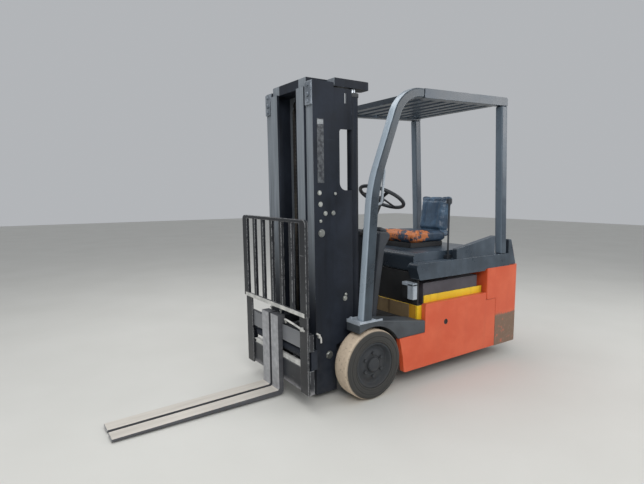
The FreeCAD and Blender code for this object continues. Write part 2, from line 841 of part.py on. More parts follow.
def channel(outer_y, flange, front, bottom, top):
    """A mast rail: a channel whose open side faces the middle of the truck."""
    depth, wall = s.channel_depth, s.channel_wall
    inner_y = outer_y - flange
    return profile("XY", bottom, top, [
        (front, outer_y), (front - depth, outer_y), (front - depth, inner_y), (front - depth + wall, inner_y),
        (front - depth + wall, outer_y - wall), (front - wall, outer_y - wall), (front - wall, inner_y),
        (front, inner_y)])


outer_back = s.mast_front - s.channel_depth
inner_back = s.inner_front - s.channel_depth
pulley_x = inner_back - s.tie_thickness / 2
pulley_z = s.inner_top - 60
chain_reach = s.pulley_r + s.chain_thickness / 2 + s.fit_gap
tie_front = pulley_x - chain_reach - s.chain_thickness / 2 - s.fit_gap
tie_back = tie_front - s.tie_thickness
roller_r = s.channel_depth / 2 - s.channel_wall - 1


def outer_mast():
    """Two rails with side plates that reach back to the lift cylinders, tied across behind the inner mast."""
    half = s.mast_half_width
    rail = channel(half, s.channel_flange, s.mast_front, s.mast_bottom, mast_top)
    pieces = []
    ties = ((340, 430), (chain_anchor_z - 50, chain_anchor_z + 50), (s.inner_top - 125, s.inner_top - 10))
    for low, high in ties:
        pieces.append(block((tie_back, tie_front), (-half, half), (low, high)))
    edge = s.lift_x + s.lift_barrel_r + s.fit_gap
    side = profile("XZ", half - s.side_plate, half, [
        (outer_back + 2, 340), (edge, 380), (edge, window_bottom), (outer_back - s.window_depth, window_bottom, 50),
        (outer_back - s.window_depth, window_top, 20), (edge, window_top), (edge, s.inner_top),
        (outer_back + 2, s.inner_top)],
        holes=[[(outer_back - 100, s.inner_top - 90), (outer_back - 85, s.inner_top - 90),
                (outer_back - 85, s.inner_top - 25), (outer_back - 100, s.inner_top - 25)]])
    ear = profile("XZ", ear_inner_y, half, [
        (outer_back + 2, 300), (s.mast_pivot_x - 42, s.mast_pivot_z + 42, 41),
        (s.mast_pivot_x - 42, s.mast_pivot_z - 42, 41), (outer_back + 2, 110)],
        circles=[(s.mast_pivot_x, s.mast_pivot_z, s.mast_pivot_pin_r + s.fit_gap)])
    shelf = block((s.lift_x - s.lift_barrel_r, tie_back + 1), (s.lift_y - s.lift_barrel_r, half - s.side_plate + 1),
                  (s.lift_barrel_bottom - 20, s.lift_barrel_bottom))
    half_mast = [rail, side, ear, shelf]
    for low, high in ((s.tilt_cyl_y - 44, s.tilt_cyl_y - 30), (s.tilt_cyl_y + 30, s.tilt_cyl_y + 44)):
        half_mast.append(profile("XZ", low, high, [
            (tie_back + 1, 345), (s.tilt_eye_x - 26, s.tilt_eye_z - 24), (s.tilt_eye_x - 26, s.tilt_eye_z + 24),
            (tie_back + 1, 425)]))
    half_mast.append(rod("Y", (s.tilt_eye_x, s.tilt_eye_z), s.tilt_cyl_y - 44, s.tilt_cyl_y + 44, s.tilt_pin_r))
    return fused(*pieces, *half_mast, *[mirrored(piece) for piece in half_mast])


def lift_barrel():
    """Lift cylinder standing on the outer mast's shelf, held to the side plate by two clamps."""
    barrel = rod("Z", (s.lift_x, s.lift_y), s.lift_barrel_bottom, lift_barrel_top, s.lift_barrel_r)
    clamps = []
    for z in (window_bottom - 120, window_top + 90):
        clamps.append(block((s.lift_x - 18, s.lift_x + s.lift_barrel_r + 20),
                            (s.lift_y + 10, s.mast_half_width - s.side_plate - s.fit_gap), (z, z + 40)))
    bore = rod("Z", (s.lift_x, s.lift_y), s.lift_barrel_bottom + 12, lift_barrel_top + 1, s.lift_rod_r + 1)
    return cut(fused(barrel, *clamps), bore)


def inner_mast():
    """Inner rails with their ties, and the head whose arms stand on the lift rods."""
    half, tie = s.inner_half_width, s.tie_thickness
    rail = channel(half, s.inner_flange, s.inner_front, s.inner_bottom, s.inner_top)
    pieces = [rail, mirrored(rail)]
    for low, high in ((s.inner_bottom + 30, s.inner_bottom + 130), (chain_anchor_z - 110, chain_anchor_z - 60)):
        pieces.append(block((inner_back - tie, inner_back + 1), (-half, half), (low, high)))
    head_top = s.inner_top + s.rod_plate_height
    head = block((inner_back - tie, s.inner_front - 20), (-half, half), (s.inner_top, head_top))
    arm_front = outer_back - s.running_gap - 3
    arm = profile("XY", s.inner_top + 10, head_top, [
        (inner_back - tie + 1, half - 80), (inner_back - tie + 1, half - 2), (arm_front, half - 2),
        (arm_front, s.mast_half_width), (-s.rod_plate_back, s.mast_half_width, 20),
        (-s.rod_plate_back, half - 10, 20)])
    hangers = []
    for low in (s.pulley_y - s.pulley_width / 2 - 12, s.pulley_y + s.pulley_width / 2 + 2):
        hangers.append(profile("XZ", low, low + 10, [
            (pulley_x - 16, pulley_z - 16), (pulley_x + 16, pulley_z - 16), (pulley_x + 16, s.inner_top + 1),
            (pulley_x - 16, s.inner_top + 1)], circles=[(pulley_x, pulley_z, 8 + s.fit_gap)]))
    roller_x = (s.mast_front + outer_back) / 2
    roller = rod("Y", (roller_x, s.inner_bottom + 90), half - 1, s.mast_half_width - s.channel_wall - s.running_gap,
                 roller_r)
    sides = [arm, roller, *hangers]
    return fused(*pieces, head, *sides, *[mirrored(piece) for piece in sides])


def lift_rod():
    return rod("Z", (s.lift_x, s.lift_y), s.lift_barrel_bottom + 70, s.inner_top + 10 - s.fit_gap, s.lift_rod_r)


def chain_pulley():
    """Chain wheel under the inner mast's head, on a pin between its two hangers."""
    half = s.pulley_width / 2
    wheel = rod("Y", (pulley_x, pulley_z), s.pulley_y - half, s.pulley_y + half, s.pulley_r)
    pin = rod("Y", (pulley_x, pulley_z), s.pulley_y - half - 14, s.pulley_y + half + 14, 8)
    return fused(wheel, pin)


def both_sides(name, piece, **kind):
    """One node that holds a piece and its mirror image."""
    node(name, piece, mirrored(piece), **kind)


node("outer_mast", outer_mast(), on_mast=True)
both_sides("mast_pins", mast_pin())
node("inner_mast", inner_mast(), on_mast=True)
both_sides("lift_rods", lift_rod(), on_mast=True)
both_sides("chain_pulleys", chain_pulley(), on_mast=True)
both_sides("lift_barrels", lift_barrel(), on_mast=True)


# Carriage, backrest and forks

shift_tube_x = s.bar_back + s.bar_thickness - s.shift_tube_r - 4


def carriage():
    """Two fork bars on side plates whose rollers run in the inner mast."""
    back, front = s.bar_back, s.bar_back + s.bar_thickness
    half = s.bar_half_width
    bars = []
    for low, high in ((s.lower_bar_bottom, s.lower_bar_top), (s.upper_bar_bottom, s.upper_bar_top)):
        bars.append(block((back, front), (-half, half), (low, high)))
    plate_outer = s.inner_half_width - s.inner_flange - s.running_gap
    plate_back = inner_back + 30
    recess = shift_tube_x - s.shift_tube_r - s.running_gap
    plate = profile("XZ", plate_outer - 26, plate_outer, [
        (back + 1, s.lower_bar_bottom), (back + 1, s.lower_bar_top), (recess, s.lower_bar_top),
        (recess, s.upper_bar_bottom), (back + 1, s.upper_bar_bottom), (back + 1, s.upper_bar_top),
        (plate_back, s.upper_bar_top),
        (plate_back, s.lower_bar_bottom + 60), (plate_back + 60, s.lower_bar_bottom)])
    roller_x = (s.inner_front + inner_back) / 2
    rollers = []
    for z in (s.lower_bar_bottom + 90, s.upper_bar_top - 65):
        rollers.append(rod("Y", (roller_x, z), plate_outer - 1, s.inner_half_width - s.channel_wall - s.running_gap,
                           roller_r))
    sides = [plate, *rollers]
    return fused(*bars, *sides, *[mirrored(piece) for piece in sides])


def shift_tube():
    """Side-shift cylinder that lies across the carriage between its bars, on two lugs."""
    centre = (shift_tube_x, s.shift_tube_z)
    ends = s.bar_half_width - 14
    pieces = [rod("Y", centre, -s.shift_tube_half, s.shift_tube_half, s.shift_tube_r),
              rod("Y", centre, -ends, ends, 13)]
    for low in (-ends - 8, ends - 16):
        pieces.append(block((shift_tube_x - 22, shift_tube_x + 22), (low, low + 24),
                            (s.lower_bar_top + s.fit_gap, s.upper_bar_bottom - s.fit_gap)))
    return fused(*pieces)


def fork(middle):
    """Forged fork: a shank hooked over the carriage bars and a blade that thins to its tip."""
    back = s.bar_back + s.bar_thickness + s.fit_gap
    front = back + s.fork_thickness
    heel = s.fork_heel_bottom
    tip = front + s.fork_length
    half = s.fork_width / 2
    over = s.upper_bar_top + s.fit_gap
    return profile("XZ", middle - half, middle + half, [
        (back, heel, 30), (tip, s.fork_tip_bottom), (tip, s.fork_tip_bottom + s.fork_tip_thickness),
        (front, heel + s.fork_thickness, 15), (front, s.fork_top_z), (back - s.fork_hook, s.fork_top_z),
        (back - s.fork_hook, over), (back, over)])


def load_backrest():
    """Grid that stops a load falling back: flat upright slats in a frame, on two legs."""
    back = s.bar_back + s.bar_thickness + s.fit_gap
    front = back + s.backrest_bar
    half = s.backrest_half_width
    gaps = 6
    end_slat = half - (s.backrest_gap * gaps + s.backrest_slat * (gaps - 1)) / 2
    low, high, bar = s.backrest_bottom, s.backrest_top, s.backrest_bar
    openings = []
    for i in range(gaps):
        edge = end_slat - half + (s.backrest_slat + s.backrest_gap) * i
        openings.append([(edge, low + bar), (edge + s.backrest_gap, low + bar), (edge + s.backrest_gap, high - bar),
                         (edge, high - bar)])
    grid = profile("YZ", back, front, [(-half, low), (half, low), (half, high, 30), (-half, high, 30)],
                   holes=openings)
    leg_outer = s.bar_half_width - 4
    leg = block((back, back + s.plate), (leg_outer - s.backrest_leg_width, leg_outer),
                (s.backrest_leg_bottom, low + bar))
    return fused(grid, leg, mirrored(leg))


node("carriage", carriage(), on_mast=True)
node("shift_tube", shift_tube(), on_mast=True)
node("fork_left", fork(s.near_fork_y), on_mast=True)
node("fork_right", fork(s.far_fork_y), on_mast=True)
node("load_backrest", load_backrest(), on_mast=True)


# Lift chains: one run down to the carriage and one to the fixed anchor

def chain_run(x, low, high):
    half = s.chain_width / 2
    run = block((x - s.chain_thickness / 2, x + s.chain_thickness / 2), (s.pulley_y - half, s.pulley_y + half),
                (low, high))
    return run


front_chain = chain_run(pulley_x + chain_reach, s.upper_bar_top + s.fit_gap, pulley_z)
rear_chain = chain_run(pulley_x - chain_reach, chain_anchor_z, pulley_z)
both_sides("lift_chains_front", front_chain, on_mast=True)
both_sides("lift_chains_rear", rear_chain, on_mast=True)


# Tilt cylinders

def tilt_line():
    """Eye on the leant mast, and the cylinder's direction and length from its chassis pin."""
    tilt = math.radians(s.mast_tilt.value)
    dx = s.tilt_eye_x.value - s.mast_pivot_x.value
    dz = s.tilt_eye_z.value - s.mast_pivot_z.value
    eye_x = s.mast_pivot_x.value + dx * math.cos(tilt) + dz * math.sin(tilt)
    eye_z = s.mast_pivot_z.value - dx * math.sin(tilt) + dz * math.cos(tilt)
    run_x, run_z = eye_x + s.tilt_base_x.value, eye_z - s.tilt_base_z.value
    return math.hypot(run_x, run_z), math.degrees(math.atan2(run_z, run_x))


tilt_length, tilt_angle = tilt_line()


def along_tilt(piece):
    """Lays a piece drawn along X from the chassis pin on to the cylinder's own line."""
    holder = doc.addObject("Part::Compound", fresh("along"))
    holder.Links = [piece]
    place(holder, -s.tilt_base_x, s.tilt_cyl_y, s.tilt_base_z, (0, 1, 0), -tilt_angle)
    return holder


def tilt_barrel():
    eye = rod("Y", (0, 0), -20, 20, 30)
    neck = block((20, 50), (-15, 15), (-15, 15))
    barrel = rod("X", (0, 0), 45, tilt_length - 150, s.tilt_barrel_r)
    hole = rod("Y", (0, 0), -21, 21, s.tilt_pin_r + s.fit_gap)
    bore = rod("X", (0, 0), 60, tilt_length, s.tilt_rod_r + 1)
    return along_tilt(cut(fused(eye, neck, barrel), hole, bore))


def tilt_rod():
    eye = rod("Y", (tilt_length, 0), -20, 20, 28)
    stem = rod("X", (0, 0), 110, tilt_length - 10, s.tilt_rod_r)
    hole = rod("Y", (tilt_length, 0), -21, 21, s.tilt_pin_r + 3)
    return along_tilt(cut(fused(eye, stem), hole))


both_sides("tilt_barrels", tilt_barrel())
both_sides("tilt_rods", tilt_rod())


def tilt_anchor():
    """Lugs on the wall ahead of the battery, with the pin that the barrel swings on."""
    wall = -s.battery_front + 16 + s.fit_gap
    tip = -s.tilt_base_x + 30
    lugs = []
    for low, high in ((s.tilt_cyl_y - 44, s.tilt_cyl_y - 25), (s.tilt_cyl_y + 25, s.tilt_cyl_y + 44)):
        lugs.append(profile("XZ", low, high, [
            (wall, s.tilt_base_z - 60), (tip, s.tilt_base_z - 26), (tip, s.tilt_base_z + 26),
            (wall, s.tilt_base_z + 60)]))
    pin = rod("Y", (-s.tilt_base_x, s.tilt_base_z), s.tilt_cyl_y - 44, s.tilt_cyl_y + 44, s.tilt_pin_r)
    return fused(*lugs, pin)


both_sides("tilt_anchors", tilt_anchor())


# Wheels

def front_tyre():
    """Solid tyre with chamfered shoulders."""
    r, half, rim = s.front_tyre_od / 2, s.front_tyre_width / 2, s.front_rim_od / 2
    return turned([
        (rim, -half), (r - 16, -half), (r, -half + 20), (r, half - 20), (r - 16, half), (rim, half)],
        0, s.track_outer_y - half, front_axle_z)


def front_wheel():
    """Pressed disc wheel in the tyre, with a hub that bolts to the axle flange."""
    rim, half = s.front_rim_od / 2 - s.fit_gap, s.front_tyre_width / 2
    return turned([
        (0, -s.hub_offset), (95, -s.hub_offset), (95, -half + 10), (rim, -half + 10), (rim, half - 10),
        (rim - 20, half - 10), (rim - 20, half - 34), (0, half - 34)],
        0, s.track_outer_y - half, front_axle_z)


def rear_tyre():
    r, half, rim = s.rear_tyre_od / 2, s.rear_tyre_width / 2, s.rear_rim_od / 2
    return turned([(rim, -half), (r, -half), (r, half), (rim, half)],
                  -wheelbase, s.rear_tyre_gap / 2 + half, rear_axle_z)


def rear_wheel():
    rim, half = s.rear_rim_od / 2 - s.fit_gap, s.rear_tyre_width / 2
    return turned([
        (0, -half + 6), (rim, -half + 6), (rim, half - 8), (rim - 20, half - 8), (rim - 20, half - 30),
        (0, half - 30)],
        -wheelbase, s.rear_tyre_gap / 2 + half, rear_axle_z)


pair("front_tyre", front_tyre)
pair("front_wheel", front_wheel)
both_sides("rear_tyres", rear_tyre())
wheel = rear_wheel()
spindle = rod("Y", (-wheelbase, rear_axle_z), -s.rear_tyre_gap / 2 - 10, s.rear_tyre_gap / 2 + 10, 22)
node("rear_wheels", fused(wheel, mirrored(wheel), spindle))


def steer_yoke():
    """Turntable under the counterweight and the leg between the twin wheels."""
    half = s.rear_tyre_gap / 2 - s.running_gap
    top = s.rear_tyre_od + 70 - s.fit_gap
    low_r = 44
    leg = profile("XZ", -half, half, [
        (-wheelbase - low_r, rear_axle_z - low_r), (-wheelbase + low_r, rear_axle_z - low_r),
        (-wheelbase + 70, s.rear_tyre_od + 20), (-wheelbase - 70, s.rear_tyre_od + 20)],
        circles=[(-wheelbase, rear_axle_z, 22 + s.fit_gap)])
    plate = rod("Z", (-wheelbase, 0), s.rear_tyre_od + 15, top, 120)
    return fused(leg, plate)


node("steer_yoke", steer_yoke())

doc.recompute()

for item in doc.Objects:
    faults = [word for word in item.State if word in ("Invalid", "Error")]
    if faults:
        raise RuntimeError(f"{item.Label} is {faults}")
for item in nodes:
    if item.Shape.isNull() or not item.Shape.isValid():
        raise RuntimeError(f"{item.Label} has no valid shape")

os.makedirs("parts", exist_ok=True)
for item in nodes:
    item.Shape.exportStep(f"parts/{item.Label}.step")
    box = item.Shape.BoundBox
    print(f"{item.Label}: {len(item.Shape.Solids)} solids, {item.Shape.Volume / 1e6:.2f} l, "
          f"X {box.XMin:.1f} {box.XMax:.1f} Y {box.YMin:.1f} {box.YMax:.1f} Z {box.ZMin:.1f} {box.ZMax:.1f}")
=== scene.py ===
# %% [markdown]
# # A three-wheel electric forklift
# This lesson dresses a finished CAD model of a parked forklift. The CAD gives every piece its place and size. Here
# the pieces get rounded edges, real materials with wear and dust, and the small parts that CAD leaves out.

# %% Load the frame
import json
import math
import random
import bpy
from mathutils import Matrix, Vector


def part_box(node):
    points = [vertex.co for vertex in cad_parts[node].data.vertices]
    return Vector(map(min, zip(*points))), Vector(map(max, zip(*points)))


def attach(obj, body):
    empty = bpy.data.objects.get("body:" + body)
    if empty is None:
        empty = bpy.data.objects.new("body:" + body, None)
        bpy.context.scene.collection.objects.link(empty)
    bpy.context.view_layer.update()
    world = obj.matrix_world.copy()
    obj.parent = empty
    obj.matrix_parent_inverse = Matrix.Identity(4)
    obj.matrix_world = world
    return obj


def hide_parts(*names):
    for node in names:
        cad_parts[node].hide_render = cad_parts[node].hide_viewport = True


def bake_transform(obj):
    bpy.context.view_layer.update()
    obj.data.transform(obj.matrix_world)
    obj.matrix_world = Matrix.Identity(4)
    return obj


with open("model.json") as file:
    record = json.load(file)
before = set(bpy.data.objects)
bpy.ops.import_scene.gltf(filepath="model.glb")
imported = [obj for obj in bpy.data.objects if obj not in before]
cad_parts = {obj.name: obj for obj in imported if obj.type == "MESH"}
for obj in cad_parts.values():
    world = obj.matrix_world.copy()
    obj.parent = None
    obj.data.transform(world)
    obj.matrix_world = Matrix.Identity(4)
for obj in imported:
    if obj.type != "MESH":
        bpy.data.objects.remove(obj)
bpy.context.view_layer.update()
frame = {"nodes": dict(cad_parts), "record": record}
nodes = frame["nodes"]
scene = bpy.context.scene
scene.view_settings.view_transform = "Standard"
random.seed(7)

# %% [markdown]
# The drawings measure from the front axle, and the model's origin is under the truck's middle, so one shift joins the
# two. Mast pieces are drawn upright in millimetres and then lean about the pin that the real mast tilts on.

# %% Places shared by many pieces
AXLE_X = (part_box("front_wheel_left")[0].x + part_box("front_wheel_left")[1].x) / 2
FRONT_AXLE_Z = 0.2285
REAR_AXLE = Vector(((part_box("rear_wheels")[0].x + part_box("rear_wheels")[1].x) / 2, 0, 0.19))
PIVOT = Vector((AXLE_X + 0.105, 0, 0.190))
LEAN = (Matrix.Translation(PIVOT) @ Matrix.Rotation(math.radians(1), 4, "Y") @ Matrix.Translation(-PIVOT))


def truck(x, y, z):
    """A point in the drawing's millimetres, as metres in the model's frame."""
    return Vector((x / 1000 + AXLE_X, y / 1000, z / 1000))


print("front axle at", round(AXLE_X, 4), "rear axle at", round(REAR_AXLE.x, 4))

# %% [markdown]
# ## Camera and light
# The photograph was taken from the front left at about head height. A long soft panel and an even world give the
# plain light of a studio, so that the paints show their own colours.

# %% Camera, floor and lamps
PHOTO_WIDTH = 644
FOCAL_PIXELS = 466
camera_data = bpy.data.cameras.new("camera")
camera_data.sensor_width = 36
camera_data.lens = FOCAL_PIXELS / PHOTO_WIDTH * camera_data.sensor_width
camera = bpy.data.objects.new("camera", camera_data)
scene.collection.objects.link(camera)
scene.camera = camera
camera.location = truck(1949, 2669, 1333)
azimuth, pitch = math.radians(144.9), math.radians(6.0)
view = Vector((-math.sin(azimuth) * math.cos(pitch), math.cos(azimuth) * math.cos(pitch), -math.sin(pitch)))
camera.rotation_euler = view.to_track_quat("-Z", "Y").to_euler()


def colour(text):
    """An sRGB hex colour as the linear numbers that Blender works in."""
    parts = [int(text[i:i + 2], 16) / 255 for i in (1, 3, 5)]
    return (*[p / 12.92 if p <= 0.04045 else ((p + 0.055) / 1.055) ** 2.4 for p in parts], 1)


def add(tree, kind, settings=None, inputs=None):
    """A node of this kind, with its settings and with a number or another node's output on each named input."""
    new = tree.nodes.new("ShaderNode" + kind)
    for field, value in (settings or {}).items():
        setattr(new, field, value)
    for socket, value in (inputs or {}).items():
        if isinstance(value, bpy.types.NodeSocket):
            tree.links.new(value, new.inputs[socket])
        else:
            new.inputs[socket].default_value = value
    return new


bpy.ops.mesh.primitive_plane_add(size=40, location=(0, 0, 0))
ground = bpy.context.object
ground.name = "ground"
concrete = bpy.data.materials.new("pale_floor")
concrete.use_nodes = True
tree = concrete.node_tree
shader = tree.nodes["Principled BSDF"]
shader.inputs["Roughness"].default_value = 0.7
spots = add(tree, "TexNoise", {}, {"Vector": add(tree, "TexCoord").outputs["Object"], "Scale": 1.3, "Detail": 6.0})
shade = add(tree, "Mix", {"data_type": "RGBA"},
            {0: spots.outputs["Fac"], 6: colour("#C9C8C2"), 7: colour("#D6D5D0")})
tree.links.new(shade.outputs[2], shader.inputs["Base Color"])
ground.data.materials.append(concrete)

world = bpy.data.worlds.new("studio")
scene.world = world
world.use_nodes = True
world.node_tree.nodes["Background"].inputs["Color"].default_value = colour("#DDE0E4")
world.node_tree.nodes["Background"].inputs["Strength"].default_value = 0.62
for name, spot, size, power in (("key_panel", (2.5, 4.5, 4.0), 3.0, 150), ("top_panel", (0.5, -1.0, 4.6), 4.0, 110),
                                ("side_panel_lamp", (-4.2, 3.2, 2.8), 2.5, 70)):
    lamp = bpy.data.lights.new(name, "AREA")
    lamp.size, lamp.energy = size, power
    holder = bpy.data.objects.new(name, lamp)
    holder.location = spot
    holder.rotation_euler = (Vector((-0.3, 0, 0.8)) - Vector(spot)).to_track_quat("-Z", "Y").to_euler()
    scene.collection.objects.link(holder)
print("camera", [round(c, 3) for c in camera.location], "lens", round(camera_data.lens, 2))

# %% [markdown]
# ## Paint
# Nearly all of a forklift is painted steel: powder or enamel, sprayed on and knocked about for years. Such a coat
# fades in clouds, runs with grime downwards, gathers pale dust near the floor, and wears through at its edges. One
# recipe with these layers serves every paint; each finish only changes its colours and how far the wear has gone.
# Some finishes also paint a highlight or shade on the faces that look forward.

# %% Worn paint
def worn_paint(name, paint, faded, bare, dust, roughness=0.42, wear=0.5, dust_top=0.55, dust_full=0.02,
               dust_share=0.45, grime="#2B2826", grime_share=0.35, grain=0.03, specular=0.5, forward_painted_light=None,
               forward_light_from=0.0, tracks_from=None):
    """Sprayed paint over steel. wear is 0 to 1; floor dust starts at dust_top metres and is full at dust_full.

    The forward colour is painted on faces that look forward, from the forward height up: a painted highlight where it
    is paler than the paint, painted shade where it is darker.
    tracks_from is how far from the middle, in metres, faces that look forward are rubbed to bright steel by rollers.
    """
    material = bpy.data.materials.new(name)
    material.use_nodes = True
    tree = material.node_tree
    shader = tree.nodes["Principled BSDF"]
    shader.inputs["Specular IOR Level"].default_value = specular
    place = add(tree, "TexCoord").outputs["Object"]
    height = add(tree, "SeparateXYZ", {}, {0: place}).outputs["Z"]
    clouds = add(tree, "TexNoise", {}, {"Vector": place, "Scale": 4.0, "Detail": 7.0, "Roughness": 0.62}).outputs["Fac"]
    cloud_share = add(tree, "MapRange", {"interpolation_type": "SMOOTHSTEP"},
                      {"Value": clouds, "From Min": 0.38, "From Max": 0.68}).outputs[0]
    coat = add(tree, "Mix", {"data_type": "RGBA"}, {0: cloud_share, 6: colour(paint), 7: colour(faded)}).outputs[2]

    # Rain and oil draw the grime into upright streaks about 60 mm apart.
    stretched = add(tree, "Mapping", {}, {"Vector": place, "Scale": (16, 16, 1.6)}).outputs[0]
    streaks = add(tree, "TexNoise", {}, {"Vector": stretched, "Scale": 1.0, "Detail": 4.0}).outputs["Fac"]
    streak_share = add(tree, "MapRange", {"interpolation_type": "SMOOTHSTEP"},
                       {"Value": streaks, "From Min": 0.5, "From Max": 0.78, "To Max": grime_share}).outputs[0]
    coat = add(tree, "Mix", {"data_type": "RGBA"}, {0: streak_share, 6: coat, 7: colour(grime)}).outputs[2]

    normal = add(tree, "NewGeometry").outputs["Normal"]
    forward = add(tree, "SeparateXYZ", {}, {0: normal}).outputs["X"]
    # Faces that look forward, from a given height up, get a colour of their own: painted highlight or painted shade.
    if forward_painted_light:
        painted_light_share = add(tree, "MapRange", {}, {"Value": forward, "From Min": 0.2, "From Max": 0.9, "To Max": 0.8}).outputs[0]
        above = add(tree, "MapRange", {}, {"Value": height, "From Min": forward_light_from - 0.02,
                                           "From Max": forward_light_from}).outputs[0]
        painted_light_share = add(tree, "Math", {"operation": "MULTIPLY"}, {0: painted_light_share, 1: above}).outputs[0]
        coat = add(tree, "Mix", {"data_type": "RGBA"}, {0: painted_light_share, 6: coat, 7: colour(forward_painted_light)}).outputs[2]

    # Wheels throw dust on the lowest parts, and its upper edge is ragged.
    powder = add(tree, "TexNoise", {}, {"Vector": place, "Scale": 22.0, "Detail": 8.0, "Roughness": 0.7}).outputs["Fac"]
    ragged = add(tree, "Math", {"operation": "MULTIPLY_ADD"}, {0: powder, 1: 0.12, 2: height}).outputs[0]
    low = add(tree, "MapRange", {"interpolation_type": "SMOOTHSTEP"},
              {"Value": ragged, "From Min": dust_top + 0.06, "From Max": dust_full + 0.06, "To Max": 1.0}).outputs[0]
    powder_share = add(tree, "MapRange", {}, {"Value": powder, "From Min": 0.3, "From Max": 0.7,
                                              "To Max": dust_share * 1.6}).outputs[0]
    dusty = add(tree, "Math", {"operation": "MULTIPLY"}, {0: low, 1: powder_share}).outputs[0]
    coat = add(tree, "Mix", {"data_type": "RGBA"}, {0: dusty, 6: coat, 7: colour(dust)}).outputs[2]

    # The bevel's normal turns away from the face's own along an edge, and there the coat wears off.
    rounded = add(tree, "Bevel", {"samples": 4}, {"Radius": 0.006}).outputs[0]
    turn = add(tree, "VectorMath", {"operation": "DOT_PRODUCT"}, {0: normal, 1: rounded}).outputs["Value"]
    edge = add(tree, "MapRange", {}, {"Value": turn, "From Min": 0.995, "From Max": 0.90}).outputs[0]
    chips = add(tree, "TexNoise", {}, {"Vector": place, "Scale": 34.0, "Detail": 6.0, "Roughness": 0.75}).outputs["Fac"]
    chip_share = add(tree, "MapRange", {}, {"Value": chips, "From Min": 0.62 - 0.2 * wear,
                                            "From Max": 0.72 - 0.2 * wear}).outputs[0]
    edge_bare = add(tree, "Math", {"operation": "MULTIPLY"}, {0: edge, 1: chip_share}).outputs[0]

    # Scratches run mostly level, from pallets and kerbs: 1 mm lines drawn at 3 mm so that they show.
    long_way = add(tree, "Mapping", {}, {"Vector": place, "Rotation": (0.1, 0.35, 0.2), "Scale": (7, 7, 160)}).outputs[0]
    lines = add(tree, "TexNoise", {}, {"Vector": long_way, "Scale": 1.0, "Detail": 3.0}).outputs["Fac"]
    line_share = add(tree, "MapRange", {}, {"Value": lines, "From Min": 0.74 - 0.05 * wear, "From Max": 0.80,
                                            "To Max": 0.55 * wear}).outputs[0]
    shown = add(tree, "Math", {"operation": "MAXIMUM"}, {0: edge_bare, 1: line_share}).outputs[0]
    coat = add(tree, "Mix", {"data_type": "RGBA"}, {0: shown, 6: coat, 7: colour(bare)}).outputs[2]

    # Rollers keep the rails' front faces bright, and the brightness fades out downwards between 1.15 m and 0.55 m.
    if tracks_from:
        ahead = add(tree, "MapRange", {}, {"Value": forward, "From Min": 0.8, "From Max": 0.95}).outputs[0]
        across = add(tree, "Math", {"operation": "ABSOLUTE"},
                     {0: add(tree, "SeparateXYZ", {}, {0: place}).outputs["Y"]}).outputs[0]
        outside = add(tree, "MapRange", {}, {"Value": across, "From Min": tracks_from,
                                             "From Max": tracks_from + 0.004}).outputs[0]
        risen = add(tree, "MapRange", {"interpolation_type": "SMOOTHSTEP"},
                    {"Value": height, "From Min": 0.55, "From Max": 1.15}).outputs[0]
        brushed = add(tree, "TexNoise", {}, {"Scale": 1.0, "Detail": 4.0, "Vector":
                                             add(tree, "Mapping", {}, {"Vector": place, "Scale": (60, 60, 2)}).outputs[0]})
        cover = add(tree, "MapRange", {}, {"Value": brushed.outputs["Fac"], "From Min": 0.2, "From Max": 0.6,
                                           "To Min": 0.55}).outputs[0]
        for part in (outside, risen, cover):
            ahead = add(tree, "Math", {"operation": "MULTIPLY"}, {0: ahead, 1: part}).outputs[0]
        coat = add(tree, "Mix", {"data_type": "RGBA"}, {0: ahead, 6: coat, 7: colour("#8E959C")}).outputs[2]
        tree.links.new(add(tree, "Math", {"operation": "MULTIPLY"}, {0: ahead, 1: 0.35}).outputs[0],
                       shader.inputs["Metallic"])
    tree.links.new(coat, shader.inputs["Base Color"])

    gloss = add(tree, "MapRange", {}, {"Value": clouds, "From Min": 0.3, "From Max": 0.7,
                                       "To Min": roughness - 0.08, "To Max": roughness + 0.12}).outputs[0]
    matt = add(tree, "Math", {"operation": "MULTIPLY_ADD"}, {0: dusty, 1: 0.35, 2: gloss}).outputs[0]
    tree.links.new(matt, shader.inputs["Roughness"])
    peel = add(tree, "TexNoise", {}, {"Vector": place, "Scale": 170.0, "Detail": 2.0}).outputs["Fac"]
    relief = add(tree, "Math", {"operation": "MULTIPLY_ADD"}, {0: shown, 1: -1.5, 2: peel}).outputs[0]
    bump = add(tree, "Bump", {}, {"Height": relief, "Distance": 0.0006, "Strength": grain * 8}).outputs[0]
    tree.links.new(bump, shader.inputs["Normal"])
    return material


orange = worn_paint("orange_enamel", "#CE5430", "#D76340", "#8A4632", "#C2977C", roughness=0.38, wear=0.3,
                    dust_top=0.14, dust_share=0.5, grime="#B8573A", grime_share=0.14)
weight_orange = worn_paint("muddy_orange_enamel", "#CE5430", "#D76340", "#8A4632", "#7E6858", roughness=0.38, wear=0.3,
                           dust_top=0.38, dust_full=0.34, dust_share=1.9, grime="#B8573A", grime_share=0.14)
# The hood's, rails' and roof's faces that look forward get a darker tone as painted shade.
slate = worn_paint("slate_enamel", "#333E49", "#45515D", "#98A5B1", "#8C8F90", roughness=0.30, wear=0.45,
                   dust_top=0.3, grime="#2A3138", grime_share=0.4, forward_painted_light="#232A32")
# The front pillars' faces that look forward get a pale blue painted highlight, and their pale bare edge colour is worn
# steel and partly a painted highlight as well.
pillar_slate = worn_paint("slate_enamel_with_painted_highlight", "#29333C", "#3A4650", "#A9B8C6", "#8C8F90", roughness=0.28, wear=0.5,
                          dust_top=0.3, grime="#262D34", grime_share=0.35, forward_painted_light="#AFBDC9")
